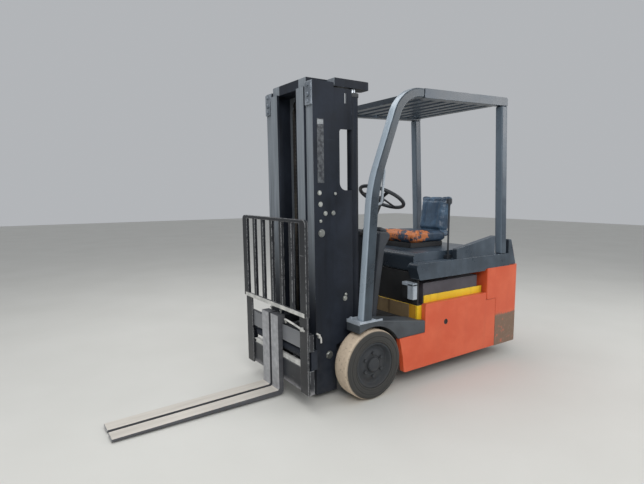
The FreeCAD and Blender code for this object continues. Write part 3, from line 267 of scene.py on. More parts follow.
# The rear pillars' faces that look forward get a paler tone as a painted highlight.
rear_slate = worn_paint("rear_slate_enamel", "#3C4753", "#4D5A66", "#98A5B1", "#8C8F90", roughness=0.3, wear=0.5,
                        dust_top=0.3, grime="#262D34", grime_share=0.35, forward_painted_light="#66737F")
mast_black = worn_paint("greasy_black_enamel", "#1C212A", "#262C37", "#4A525E", "#4A4C50", roughness=0.55, wear=0.3,
                        dust_top=0.6, dust_share=0.25, specular=0.25, grime="#0A0C10", grime_share=0.5)
outer_rail_black = worn_paint("rail_enamel", "#1C212A", "#262C37", "#4A525E", "#4A4C50", roughness=0.55, wear=0.3,
                              dust_top=0.6, dust_share=0.25, specular=0.25, grime="#0A0C10", grime_share=0.5, tracks_from=0.209)
inner_rail_black = worn_paint("inner_rail_enamel", "#1C212A", "#262C37", "#4A525E", "#4A4C50", roughness=0.55, wear=0.3,
                              dust_top=0.6, dust_share=0.25, specular=0.25, grime="#0A0C10", grime_share=0.5, tracks_from=0.118)
# The carriage's faces that look forward, from 0.27 m up, get a light grey as a painted highlight; its chipped pale
# edges are wear.
carriage_black = worn_paint("worn_carriage_enamel_with_painted_lit_front", "#212328", "#33363B", "#A5A8AA", "#8A898B", roughness=0.4,
                            wear=0.8, dust_top=0.15, dust_full=0.11, dust_share=1.1, grime="#15171B", grime_share=0.4,
                            forward_painted_light="#85878B", forward_light_from=0.27)
# Wear at full and a very pale bare colour leave bright slat edges: chips, and a painted highlight along the edges too.
backrest_black = worn_paint("backrest_enamel", "#1A1C21", "#272A2F", "#B4B6B7", "#6A6866", roughness=0.4,
                            wear=1.0, dust_top=0.3, grime="#15171B", grime_share=0.4)
chassis_black = worn_paint("chassis_enamel", "#1B1C1E", "#2A2B2D", "#55524D", "#77706A", roughness=0.6, wear=0.4,
                           dust_top=0.6, dust_share=0.4)
battery_grey = worn_paint("battery_steel_paint", "#3D3A41", "#4C4950", "#7D7A7C", "#6F6A68", roughness=0.5, wear=0.5,
                          dust_top=0.3)
yellow = worn_paint("yellow_enamel", "#E2B716", "#EFC92A", "#8A6A2A", "#B99A4C", roughness=0.42, wear=0.6,
                    dust_top=0.35, grime="#7A6420", grime_share=0.45)
ochre = worn_paint("stained_yellow_enamel_with_painted_shade", "#C08A20", "#D09A2C", "#7A5A2A", "#A98A4C", roughness=0.5, wear=0.8,
                   dust_top=0.35, grime="#5A4420", grime_share=0.6)
brown_board = worn_paint("brown_board_with_painted_shade", "#7D6A4E", "#9A8462", "#5A4630", "#8F8270", roughness=0.6, wear=0.6,
                         dust_top=0.35, grime="#3E3122", grime_share=0.8)
pale_paint = worn_paint("pale_case_enamel", "#98A2AC", "#B0B8C0", "#5D6468", "#8C8F90", roughness=0.4, wear=0.5,
                        dust_top=0.3, grime="#5A6268", grime_share=0.5)
rim_paint = worn_paint("dusty_rim_enamel", "#2A2E33", "#34393E", "#5E5C58", "#4E4B47", roughness=0.7, wear=0.3,
                       dust_top=0.5, dust_share=0.35, grime="#222528", grime_share=0.35)
lamp_red = worn_paint("faded_red_lens", "#7E1F1B", "#96322B", "#B46A62", "#8A6A64", roughness=0.25, wear=0.3,
                      dust_top=0.3)
print("paints:", len(bpy.data.materials) - 1)

# %% [markdown]
# ## Rubber, moulded plastic, bare steel and vinyl
# Solid tyres are carbon-black rubber, moulded and cured, so they are matt and grey with dust, paler on the tread that
# rolls in it. Step and cowl are moulded polypropylene with a fine leather-like grain. Fork blades are forged black
# and rubbed bright on top by pallets. The seat is vinyl over foam, worn through on its front edge.

# %% Tyre rubber
def tyre_rubber(name, axle, tread_radius):
    """Dusty rubber whose tread is told from its sidewall by the distance from the axle."""
    material = bpy.data.materials.new(name)
    material.use_nodes = True
    tree = material.node_tree
    shader = tree.nodes["Principled BSDF"]
    place = add(tree, "TexCoord").outputs["Object"]
    centred = add(tree, "VectorMath", {"operation": "SUBTRACT"}, {0: place, 1: axle}).outputs[0]
    flat = add(tree, "VectorMath", {"operation": "MULTIPLY"}, {0: centred, 1: (1, 0, 1)}).outputs[0]
    radius = add(tree, "VectorMath", {"operation": "LENGTH"}, {0: flat}).outputs["Value"]
    on_tread = add(tree, "MapRange", {}, {"Value": radius, "From Min": tread_radius - 0.010,
                                          "From Max": tread_radius - 0.002}).outputs[0]
    fine = add(tree, "TexNoise", {}, {"Vector": place, "Scale": 55.0, "Detail": 8.0, "Roughness": 0.7}).outputs["Fac"]
    broad = add(tree, "TexNoise", {}, {"Vector": place, "Scale": 7.0, "Detail": 5.0}).outputs["Fac"]
    wall = add(tree, "Mix", {"data_type": "RGBA"}, {0: broad, 6: colour("#2A2A2A"), 7: colour("#40403E")}).outputs[2]
    rings = add(tree, "Math", {"operation": "SINE"},
                {0: add(tree, "Math", {"operation": "MULTIPLY"}, {0: radius, 1: 420.0}).outputs[0]}).outputs[0]
    ring_share = add(tree, "MapRange", {}, {"Value": rings, "From Min": -1.0, "From Max": 1.0,
                                            "To Max": 0.18}).outputs[0]
    wall = add(tree, "Mix", {"data_type": "RGBA"}, {0: ring_share, 6: wall, 7: colour("#57544E")}).outputs[2]
    dust = add(tree, "Mix", {"data_type": "RGBA"}, {0: fine, 6: colour("#BCA78F"), 7: colour("#E2D2BC")}).outputs[2]
    pits = add(tree, "MapRange", {}, {"Value": fine, "From Min": 0.30, "From Max": 0.42}).outputs[0]
    caked = add(tree, "Mix", {"data_type": "RGBA"}, {0: pits, 6: colour("#6E6252"), 7: dust}).outputs[2]
    skin = add(tree, "Mix", {"data_type": "RGBA"}, {0: on_tread, 6: wall, 7: caked}).outputs[2]
    tree.links.new(skin, shader.inputs["Base Color"])
    shader.inputs["Roughness"].default_value = 0.88
    bump = add(tree, "Bump", {}, {"Height": fine, "Distance": 0.001, "Strength": 0.4}).outputs[0]
    tree.links.new(bump, shader.inputs["Normal"])
    return material


front_rubber = tyre_rubber("front_tyre_rubber", (AXLE_X, 0, FRONT_AXLE_Z), 0.2285)
rear_rubber = tyre_rubber("rear_tyre_rubber", tuple(REAR_AXLE), 0.19)


# %% Moulded plastic, vinyl and steels
def grained(name, dark, light, roughness, grain_scale, depth, patch_scale=5.0, metallic=0.0, patch=None,
            patch_from=0.0):
    """A material with a fine grain and slow changes of tone, and torn patches ahead of patch_from if asked."""
    material = bpy.data.materials.new(name)
    material.use_nodes = True
    tree = material.node_tree
    shader = tree.nodes["Principled BSDF"]
    shader.inputs["Metallic"].default_value = metallic
    place = add(tree, "TexCoord").outputs["Object"]
    slow = add(tree, "TexNoise", {}, {"Vector": place, "Scale": patch_scale, "Detail": 6.0, "Roughness": 0.6}).outputs["Fac"]
    share = add(tree, "MapRange", {"interpolation_type": "SMOOTHSTEP"},
                {"Value": slow, "From Min": 0.35, "From Max": 0.68}).outputs[0]
    tone = add(tree, "Mix", {"data_type": "RGBA"}, {0: share, 6: colour(dark), 7: colour(light)}).outputs[2]
    if patch:
        spots = add(tree, "TexNoise", {}, {"Vector": place, "Scale": 9.0, "Detail": 8.0, "Roughness": 0.65}).outputs["Fac"]
        along = add(tree, "SeparateXYZ", {}, {0: place}).outputs["X"]
        edge = add(tree, "MapRange", {}, {"Value": along, "From Min": patch_from, "From Max": patch_from + 0.28,
                                          "To Max": 0.15}).outputs[0]
        spots = add(tree, "Math", {"operation": "ADD"}, {0: spots, 1: edge}).outputs[0]
        torn = add(tree, "MapRange", {}, {"Value": spots, "From Min": 0.62, "From Max": 0.65}).outputs[0]
        tone = add(tree, "Mix", {"data_type": "RGBA"}, {0: torn, 6: tone, 7: colour(patch)}).outputs[2]
    tree.links.new(tone, shader.inputs["Base Color"])
    cells = add(tree, "TexVoronoi", {}, {"Vector": place, "Scale": grain_scale}).outputs["Distance"]
    matt = add(tree, "MapRange", {}, {"Value": slow, "From Min": 0.3, "From Max": 0.7, "To Min": roughness - 0.1,
                                      "To Max": roughness + 0.1}).outputs[0]
    tree.links.new(matt, shader.inputs["Roughness"])
    bump = add(tree, "Bump", {}, {"Height": cells, "Distance": depth, "Strength": 0.5}).outputs[0]
    tree.links.new(bump, shader.inputs["Normal"])
    return material


step_plastic = grained("moulded_step_polypropylene", "#34393E", "#474D52", 0.5, 260, 0.0006)
black_plastic = grained("moulded_black_polypropylene", "#22262B", "#31363D", 0.5, 300, 0.0005)
rubber_mat = grained("ribbed_floor_rubber", "#1F1F20", "#3A3836", 0.8, 200, 0.0008)
seat_vinyl = grained("blue_grey_vinyl", "#33465A", "#4E6880", 0.38, 420, 0.0005, patch_scale=8)
cushion_vinyl = grained("torn_cushion_vinyl", "#1E2A38", "#33475C", 0.45, 420, 0.0005, patch_scale=8, patch="#C0703C",
                        patch_from=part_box("seat_cushion")[1].x - 0.30)
bright_steel = grained("ground_steel", "#8F949A", "#B4B9BE", 0.28, 500, 0.0001, metallic=1.0)
rail_steel = grained("roller_polished_steel", "#6E757D", "#99A0A8", 0.34, 380, 0.0002, patch_scale=12, metallic=0.6)
zinc = grained("zinc_plated_steel", "#9A9C98", "#C9CBC6", 0.35, 400, 0.0002, metallic=0.8)
chain_steel = grained("greased_chain_steel", "#2E2C2A", "#55504A", 0.45, 300, 0.0003, metallic=0.7)
pale_plate = grained("bare_label_plate", "#7E8388", "#A4A8AA", 0.6, 300, 0.0003, patch_scale=30)
dark_glass = grained("tinted_meter_glass", "#101418", "#1A2026", 0.12, 30, 0.00005)
nylon = grained("pale_slide_nylon", "#B4B4B0", "#DAD9D4", 0.4, 300, 0.0003, patch_scale=14)
label_foil = grained("scuffed_blank_foil", "#262930", "#5E6266", 0.5, 300, 0.0003, patch_scale=38)
motor_grey = grained("cast_motor_housing", "#2F3134", "#45474A", 0.65, 150, 0.0008)

# %% Fork steel with a rubbed, dusty top
fork_steel = bpy.data.materials.new("forged_fork_steel")
fork_steel.use_nodes = True
tree = fork_steel.node_tree
shader = tree.nodes["Principled BSDF"]
place = add(tree, "TexCoord").outputs["Object"]
upward = add(tree, "SeparateXYZ", {}, {0: add(tree, "NewGeometry").outputs["Normal"]}).outputs["Z"]
facing_up = add(tree, "MapRange", {}, {"Value": upward, "From Min": 0.6, "From Max": 0.9}).outputs[0]
height = add(tree, "SeparateXYZ", {}, {0: place}).outputs["Z"]
on_blade = add(tree, "MapRange", {}, {"Value": height, "From Min": 0.20, "From Max": 0.10}).outputs[0]
facing_up = add(tree, "Math", {"operation": "MULTIPLY"}, {0: facing_up, 1: on_blade}).outputs[0]
rubs = add(tree, "TexNoise", {}, {"Vector": add(tree, "Mapping", {}, {"Vector": place, "Scale": (3, 30, 30)}).outputs[0],
                                  "Scale": 1.0, "Detail": 6.0}).outputs["Fac"]
forged = add(tree, "Mix", {"data_type": "RGBA"}, {0: rubs, 6: colour("#3A3B3F"), 7: colour("#6A6B6F")}).outputs[2]
# Loads rub the shank's front as pallets rub the blade's top, and the sides keep their forging scale.
ahead = add(tree, "SeparateXYZ", {}, {0: add(tree, "NewGeometry").outputs["Normal"]}).outputs["X"]
facing_ahead = add(tree, "MapRange", {}, {"Value": ahead, "From Min": 0.6, "From Max": 0.9}).outputs[0]
scuffed = add(tree, "Mix", {"data_type": "RGBA"}, {0: rubs, 6: colour("#7A7B7F"), 7: colour("#C9CACD")}).outputs[2]
forged = add(tree, "Mix", {"data_type": "RGBA"}, {0: facing_ahead, 6: forged, 7: scuffed}).outputs[2]
rubbed = add(tree, "Mix", {"data_type": "RGBA"}, {0: rubs, 6: colour("#B9B2A8"), 7: colour("#E2DDD4")}).outputs[2]
skin = add(tree, "Mix", {"data_type": "RGBA"}, {0: facing_up, 6: forged, 7: rubbed}).outputs[2]
tree.links.new(skin, shader.inputs["Base Color"])
shader.inputs["Roughness"].default_value = 0.5
shader.inputs["Metallic"].default_value = 0.25
print("materials:", len(bpy.data.materials))

# %% [markdown]
# ## Rounding the CAD's edges
# A CAD edge is perfectly sharp, and no pressed, cast or welded part has such an edge. A copy of the node is merged,
# its flat faces are joined, and a small bevel catches the light as the real edge does. Normals weighted by area keep
# the big faces flat beside it. The copy then stands for the node, in the same place.

# %% Helpers that pick, round and fit pieces
def pick(*pieces):
    """Only these objects are selected, and the first is active."""
    bpy.ops.object.select_all(action="DESELECT")
    for piece in pieces:
        piece.select_set(True)
    bpy.context.view_layer.objects.active = pieces[0]


def bevelled(piece, width, segments=2, angle=30):
    """Rounds a piece's sharp edges for good and shades it smoothly between them."""
    pick(piece)
    edges = piece.modifiers.new("edges", "BEVEL")
    edges.width, edges.segments = width, segments
    edges.limit_method, edges.angle_limit = "ANGLE", math.radians(angle)
    bpy.ops.object.modifier_apply(modifier="edges")
    bpy.ops.object.shade_smooth_by_angle(angle=math.radians(32))
    flat = piece.modifiers.new("flat_faces", "WEIGHTED_NORMAL")
    flat.keep_sharp = True
    bpy.ops.object.modifier_apply(modifier="flat_faces")
    return piece


def rounded(node, width, segments=2):
    """A copy of a CAD node with rounded edges, drawn around the same body."""
    piece = bpy.data.objects.new(f"{node}_skin", nodes[node].data.copy())
    scene.collection.objects.link(piece)
    pick(piece)
    bpy.ops.object.mode_set(mode="EDIT")
    bpy.ops.mesh.select_all(action="SELECT")
    bpy.ops.mesh.remove_doubles(threshold=0.00002)
    bpy.ops.mesh.dissolve_limited(angle_limit=math.radians(1))
    bpy.ops.object.mode_set(mode="OBJECT")
    return bevelled(piece, width, segments)


def finish(piece, material, body, slot, *stands_for):
    """Gives a piece its material, its body and the nodes that it stands for. slot is not used."""
    piece.data.materials.clear()
    piece.data.materials.append(material)
    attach(piece, body)
    if stands_for:
        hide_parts(*stands_for)
    return piece


SKINS = (
    # node, edge radius in metres, material, slot
    ("counterweight", 0.012, weight_orange, "body_orange"),
    ("side_panel_left", 0.004, orange, "body_orange"), ("side_panel_right", 0.004, orange, "body_orange"),
    ("step_left", 0.006, step_plastic, "step_grey"), ("step_right", 0.006, step_plastic, "step_grey"),
    ("hood_rail_left", 0.006, slate, "guard_grey"), ("hood_rail_right", 0.006, slate, "guard_grey"),
    ("guard_front_left", 0.012, pillar_slate, "guard_grey"), ("guard_front_right", 0.012, pillar_slate, "guard_grey"),
    ("guard_rear_left", 0.010, rear_slate, "guard_grey"), ("guard_rear_right", 0.010, rear_slate, "guard_grey"),
    ("roof", 0.006, slate, "guard_grey"), ("battery_hood", 0.012, slate, "guard_grey"),
    ("battery", 0.004, battery_grey, "frame_dark"), ("battery_trim", 0.002, yellow, "battery_yellow"),
    ("front_panel", 0.003, chassis_black, "frame_dark"), ("chassis_frame", 0.003, chassis_black, "frame_dark"),
    ("seat_base", 0.004, chassis_black, "frame_dark"), ("cowl", 0.014, black_plastic, "moulded_black"),
    ("floor", 0.002, rubber_mat, "frame_dark"),
    ("rear_lamp_left", 0.006, slate, "lamp_red"), ("rear_lamp_right", 0.006, slate, "lamp_red"),
    ("outer_mast", 0.002, outer_rail_black, "mast_dark"), ("inner_mast", 0.002, inner_rail_black, "mast_dark"),
    ("carriage", 0.002, carriage_black, "mast_dark"), ("load_backrest", 0.003, backrest_black, "mast_dark"),
    ("fork_left", 0.003, fork_steel, "fork_steel"), ("fork_right", 0.003, fork_steel, "fork_steel"),
    ("lift_barrels", 0.001, mast_black, "mast_dark"), ("shift_tube", 0.002, mast_black, "mast_dark"),
    ("tilt_barrels", 0.001, mast_black, "mast_dark"), ("drive_axle", 0.004, motor_grey, "frame_dark"),
    ("steer_yoke", 0.003, chassis_black, "frame_dark"), ("tilt_anchors", 0.002, chassis_black, "frame_dark"),
)
body_of = {node: body for body, names in frame["record"]["behaviour"]["bodies"].items() for node in names}
skins = {}
for node, width, material, slot in SKINS:
    skins[node] = finish(rounded(node, width), material, body_of[node], slot, node)
for node, material in (("lift_rods", bright_steel), ("tilt_rods", bright_steel), ("mast_pins", zinc),
                       ("chain_pulleys", chain_steel), ("side_lever", black_plastic)):
    nodes[node].data.materials.clear()
    nodes[node].data.materials.append(material)
    pick(nodes[node])
print("rounded", len(skins), "nodes with", sum(len(p.data.polygons) for p in skins.values()), "faces")

# %% [markdown]
# ## Helpers for the added pieces
# A few shapes come again and again: a bar or plate with rounded edges, a hexagon bolt, and anything that a lathe would
# make. Each helper starts from a primitive and ends with the piece's place in its mesh and its object at the origin.
# The lathe extrudes one point along an outline and spins it, because that is how the real part was turned or moulded.

# %% Bars, bolts and a lathe
def settled(piece, name, leant=False):
    """Puts a piece's place, turn and scale into its mesh, and leans it with the mast if asked."""
    pick(piece)
    bpy.ops.object.transform_apply(location=True, rotation=True, scale=True)
    piece.name = name
    if leant:
        piece.data.transform(LEAN)
    return piece


def bar(name, low, high, edge=0.002, leant=False, turn=(0, 0, 0)):
    """A bar or plate between two corners in drawing millimetres, turned about its middle, with rounded edges."""
    low, high = truck(*low), truck(*high)
    bpy.ops.object.select_all(action="DESELECT")
    bpy.ops.mesh.primitive_cube_add(size=1, location=(low + high) / 2, scale=high - low,
                                    rotation=[math.radians(t) for t in turn])
    piece = bpy.context.object
    bpy.ops.object.transform_apply(location=False, rotation=False, scale=True)
    bevelled(piece, edge)
    return settled(piece, name, leant)


def bolt(name, place, facing, across=0.019, head=0.008, leant=False):
    """A hexagon head on a washer. facing is the direction that the head looks in."""
    turn = Vector(facing).to_track_quat("Z", "Y").to_euler()
    place = truck(*place)
    bpy.ops.object.select_all(action="DESELECT")
    bpy.ops.mesh.primitive_cylinder_add(vertices=20, radius=across * 0.68, depth=0.002, location=place, rotation=turn)
    washer = bpy.context.object
    bpy.ops.mesh.primitive_cylinder_add(vertices=6, radius=across * 0.56, depth=head, rotation=turn,
                                        location=place + Vector(facing) * head / 2)
    hexagon = bpy.context.object
    bevelled(hexagon, 0.0012, 1)
    pick(hexagon, washer)
    bpy.ops.object.join()
    return settled(hexagon, name, leant)


def joined(name, *pieces):
    """Several pieces as one object."""
    pick(*pieces)
    bpy.ops.object.join()
    bpy.context.object.name = name
    return bpy.context.object


def lathed(name, outline, centre, axis=(0, 1, 0), steps=96, smooth=32):
    """Turns (radius, reach) points in millimetres about an axis through the centre. reach runs along the axis."""
    axis = Vector(axis)
    arm = Vector((1, 0, 0)) if abs(axis.x) < 0.9 else Vector((0, 0, 1))
    points = [centre + arm * radius / 1000 + axis * reach / 1000 for radius, reach in outline]
    bpy.ops.object.select_all(action="DESELECT")
    bpy.ops.mesh.primitive_plane_add(size=0.1, location=(0, 0, 0))
    piece = bpy.context.object
    piece.name = name
    bpy.ops.object.mode_set(mode="EDIT")
    bpy.ops.mesh.select_all(action="SELECT")
    bpy.ops.mesh.merge(type="CENTER")
    bpy.ops.transform.translate(value=points[0])
    for before, after in zip(points, points[1:]):
        bpy.ops.mesh.extrude_region_move(TRANSFORM_OT_translate={"value": after - before})
    bpy.ops.mesh.select_all(action="SELECT")
    bpy.ops.mesh.spin(steps=steps, angle=math.tau, center=centre, axis=axis)
    bpy.ops.mesh.select_all(action="SELECT")
    bpy.ops.mesh.remove_doubles(threshold=0.00001)
    bpy.ops.mesh.normals_make_consistent(inside=False)
    bpy.ops.object.mode_set(mode="OBJECT")
    pick(piece)
    bpy.ops.object.shade_smooth_by_angle(angle=math.radians(smooth))
    return piece


def twin(piece, name):
    """The same piece mirrored to the truck's other side, with a mesh of its own."""
    other = bpy.data.objects.new(name, piece.data.copy())
    other.data.transform(Matrix.Scale(-1, 4, (0, 1, 0)))
    other.data.flip_normals()
    scene.collection.objects.link(other)
    return other


# %% [markdown]
# ## Tyres and wheels
# The front tyres are solid rubber pressed on a steel rim: thick walls with a moulded ring, and shoulders rounded by
# wear. The tread of such a tyre is nearly smooth once it is worn. The disc is dished, with a hub cap and a ring of
# nuts, and all of it is matt with brake dust.

# %% Tyre and disc outlines as radius and reach from the middle, in millimetres
FRONT_TYRE = ((150, -71), (156, -75), (197, -75), (213, -71), (223, -63), (227.5, -51), (228.5, -36), (228.5, 36),
              (227.5, 51), (223, 63), (213, 71), (200, 75), (193, 75), (191.5, 72.5), (187, 72.5), (185.5, 75),
              (166, 75), (164, 73), (160, 73), (158, 75), (153, 74), (150, 70), (150, -71))
FRONT_DISC = ((0, -28), (95, -28), (95, -62), (140, -65), (149.7, -65), (149.7, 66), (145, 69), (138, 68), (133, 62),
              (129, 46), (122, 39), (112, 37), (100, 40), (90, 46), (64, 48), (60, 45), (47, 45), (46, 60),
              (40, 66), (24, 69), (0, 70))
REAR_TYRE = ((115, -52), (120, -55), (168, -55), (180, -51), (188, -40), (190, -26), (190, 26), (188, 40),
             (180, 51), (168, 55), (150, 55), (148, 53), (144, 53), (142, 55), (120, 55), (115, 52), (115, -52))
REAR_DISC = ((0, -49), (108, -49), (114.7, -47), (114.7, 47), (108, 49), (102, 44), (98, 27), (88, 25), (60, 28),
             (34, 28), (33, 42), (26, 46), (0, 47))


def wheel_nuts(centre, ring, reach, count, across):
    """Nuts on a ring about the wheel's axis, looking outwards."""
    nuts = []
    for i in range(count):
        turn = math.tau * (i + 0.5) / count
        spot = centre + Vector((math.cos(turn) * ring, reach, math.sin(turn) * ring))
        bpy.ops.object.select_all(action="DESELECT")
        bpy.ops.mesh.primitive_cylinder_add(vertices=6, radius=across / 2, depth=0.016, location=spot,
                                            rotation=(math.pi / 2, turn, 0))
        nuts.append(bevelled(bpy.context.object, 0.0015, 1))
    pick(*nuts)
    bpy.ops.object.transform_apply(location=True, rotation=True, scale=True)
    return nuts


# %% Front wheels
left_middle = (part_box("front_tyre_left")[0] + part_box("front_tyre_left")[1]) / 2
tyre = lathed("front_tyre_left_rubber", FRONT_TYRE, left_middle, steps=128)
disc = lathed("front_wheel_left_disc", FRONT_DISC, left_middle)
disc = joined("front_wheel_left_disc", disc, *wheel_nuts(left_middle, 0.077, 0.052, 6, 0.024))
right_tyre, right_disc = twin(tyre, "front_tyre_right_rubber"), twin(disc, "front_wheel_right_disc")
for side, rubber, steel in (("left", tyre, disc), ("right", right_tyre, right_disc)):
    finish(rubber, front_rubber, f"front_wheel_{side}", "tyre", f"front_tyre_{side}")
    finish(steel, rim_paint, f"front_wheel_{side}", "frame_dark", f"front_wheel_{side}")
print("front tyre", len(tyre.data.polygons), "faces")

# %% Twin rear wheel
REAR_SIDE_Y = 0.077
rear_middle = REAR_AXLE + Vector((0, REAR_SIDE_Y, 0))
tyre = lathed("rear_tyre_left_rubber", REAR_TYRE, rear_middle)
disc = lathed("rear_wheel_left_disc", REAR_DISC, rear_middle)
disc = joined("rear_wheel_left_disc", disc, *wheel_nuts(rear_middle, 0.060, 0.034, 5, 0.020))
bpy.ops.object.select_all(action="DESELECT")
bpy.ops.mesh.primitive_cylinder_add(vertices=32, radius=0.022, depth=0.064, location=REAR_AXLE,
                                    rotation=(math.pi / 2, 0, 0))
spindle = settled(bevelled(bpy.context.object, 0.001), "rear_spindle")
for rubber in (tyre, twin(tyre, "rear_tyre_right_rubber")):
    finish(rubber, rear_rubber, "rear_wheel", "tyre", "rear_tyres")
for steel in (disc, twin(disc, "rear_wheel_right_disc"), spindle):
    finish(steel, rim_paint, "rear_wheel", "frame_dark", "rear_wheels")

# %% [markdown]
# ## Operator's place
# The wheel is a plain ring moulded over steel wire, on a hub with three flat spokes. The column goes down into a
# folded rubber boot. A knob and two levers stand on the cowl for the lift and the tilt.

# %% Steering wheel, column and boot
WHEEL_LEAN = math.radians(-28)
hub_place = truck(-340, 160, 1305)
column_way = Matrix.Rotation(WHEEL_LEAN, 3, "Y") @ Vector((0, 0, 1))
bpy.ops.object.select_all(action="DESELECT")
bpy.ops.mesh.primitive_torus_add(location=hub_place, rotation=(0, WHEEL_LEAN, 0), major_radius=0.165,
                                 minor_radius=0.013, major_segments=80, minor_segments=18)
ring = settled(bpy.context.object, "steering_ring")
pick(ring)
bpy.ops.object.shade_smooth()
spokes = []
for turn in (60, 180, 300):
    bpy.ops.object.select_all(action="DESELECT")
    bpy.ops.mesh.primitive_cube_add(size=1, location=(0.092, 0, -0.006), scale=(0.140, 0.026, 0.007))
    spoke = bpy.context.object
    bpy.ops.object.transform_apply(location=True, rotation=False, scale=True)
    bevelled(spoke, 0.003)
    spoke.data.transform(Matrix.Translation(hub_place) @ Matrix.Rotation(WHEEL_LEAN, 4, "Y")
                         @ Matrix.Rotation(math.radians(turn), 4, "Z"))
    spokes.append(spoke)
hub = lathed("steering_hub", ((0, 8), (22, 8), (28, 4), (30, -6), (28, -22), (0, -22)), hub_place, column_way, 48)
wheel = joined("steering_wheel", ring, hub, *spokes)
column = lathed("steering_column", ((0, -20), (24, -20), (24, -230), (0, -230)), hub_place, column_way, 48)
boot_outline = [(24, -215)]
for fold in range(4):
    boot_outline += [(30 + 5 * fold, -222 - 17 * fold), (40 + 4 * fold, -231 - 17 * fold)]
boot_outline += [(46, -300), (0, -300)]
boot = lathed("steering_boot", boot_outline, hub_place, column_way, 48)
finish(wheel, black_plastic, "chassis", "moulded_black", "steering")
finish(column, chassis_black, "chassis", "frame_dark", "steering")
finish(boot, rubber_mat, "chassis", "moulded_black", "steering")

# %% Levers on the cowl
for number, (y, tilt) in enumerate(((-60, 4), (-110, -3), (-160, 2))):
    foot_x, foot_z, top_z = -232, 1062, 1168
    stem = bar(f"lever_stem_{number}", (foot_x - 4, y - 4, foot_z), (foot_x + 4, y + 4, top_z), 0.002, turn=(0, tilt, 0))
    knob = lathed(f"lever_knob_{number}", ((0, 0), (7, 0), (13, 8), (15, 20), (12, 31), (0, 35)),
                  truck(foot_x + tilt, y, top_z - 6), (0, 0, 1), 32)
    finish(stem, zinc, "chassis", "bright_steel")
    finish(knob, black_plastic, "chassis", "moulded_black")
slot_plate = bar("lever_plate", (-252, -185, 1058), (-212, -35, 1066), 0.003)
finish(slot_plate, chassis_black, "chassis", "frame_dark")
print("steering ring at", [round(c, 3) for c in hub_place])

# %% [markdown]
# ## Seat
# The seat is foam under vinyl. A block of foam swells between its seams, so the block is remeshed and blown up with
# cloth and a little pressure, and no point may move more than a foam's worth. The sewn channels are pressed in after
# that, because a remesh would lose them.

# %% Stuffed cushions
def stuffed(node, name, shrink, cap, voxel=0.009, pressure=4.0):
    """A padded copy of a plain cushion. shrink is how much smaller it starts, cap how far a point may swell."""
    piece = bpy.data.objects.new(name, nodes[node].data.copy())
    scene.collection.objects.link(piece)
    pick(piece)
    low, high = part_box(node)
    middle, size = (low + high) / 2, high - low
    smaller = Matrix.Diagonal([1 - 2 * shrink / side for side in size] + [1])
    piece.data.transform(Matrix.Translation(middle) @ smaller @ Matrix.Translation(-middle))
    remesh = piece.modifiers.new("remesh", "REMESH")
    remesh.mode, remesh.voxel_size = "VOXEL", voxel
    bpy.ops.object.modifier_apply(modifier="remesh")
    start = [vertex.co.copy() for vertex in piece.data.vertices]
    cloth = piece.modifiers.new("stuffing", "CLOTH")
    cloth.settings.use_pressure = True
    cloth.settings.uniform_pressure_force = pressure
    cloth.settings.effector_weights.gravity = 0
    for frame_number in range(1, 17):
        scene.frame_set(frame_number)
    bpy.ops.object.modifier_apply(modifier="stuffing")
    for vertex, first in zip(piece.data.vertices, start):
        move = vertex.co - first
        if move.length > cap:
            vertex.co = first + move.normalized() * cap
    scene.frame_set(1)
    return piece


def pressed_seams(piece, lines, depth=0.010, reach=0.014):
    """Presses sewn channels in. Each line is an axis number, a place on it and the side that it shows on."""
    for vertex in piece.data.vertices:
        for axis, place, side_axis, side_place in lines:
            away = abs(vertex.co[axis] - place)
            if away < reach * 2 and (vertex.co[side_axis] - side_place) * math.copysign(1, depth) > 0:
                vertex.co -= vertex.normal * abs(depth) * math.exp(-(away / reach * 1.6) ** 2)
    smooth = piece.modifiers.new("smooth", "SUBSURF")
    smooth.levels = smooth.render_levels = 1
    pick(piece)
    bpy.ops.object.modifier_apply(modifier="smooth")
    bpy.ops.object.shade_smooth()
    return piece


cushion_low, cushion_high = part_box("seat_cushion")
back_low, back_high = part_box("seat_back")
cushion = stuffed("seat_cushion", "seat_cushion_foam", 0.012, 0.014)
front_seam = cushion_high.x - 0.085
cushion = pressed_seams(cushion, ((0, front_seam, 2, cushion_low.z + 0.05), (1, -0.125, 2, cushion_low.z + 0.05),
                                  (1, 0.125, 2, cushion_low.z + 0.05)))
backrest = stuffed("seat_back", "seat_back_foam", 0.012, 0.014)
back_middle = (back_low.x + back_high.x) / 2
backrest = pressed_seams(backrest, ((1, -0.062, 0, back_middle - 0.06), (1, 0.062, 0, back_middle - 0.06),
                                    (2, back_high.z - 0.055, 0, back_middle - 0.06),
                                    (2, back_low.z + 0.075, 0, back_middle - 0.06)))
finish(cushion, cushion_vinyl, "hood", "seat_vinyl", "seat_cushion")
finish(backrest, seat_vinyl, "hood", "seat_vinyl", "seat_back")
print("seat foam:", [len(pad.data.polygons) for pad in (cushion, backrest)], "faces")

# %% [markdown]
# ## Lift chains
# The mast is lifted by leaf chains: flat link plates laced on pins, greasy and dark. Each link is modelled once, and
# an array repeats it along the run at the chain's own pitch. The run shortens as the carriage rises.

# %% Leaf chain
LINK_PITCH = 0.0254


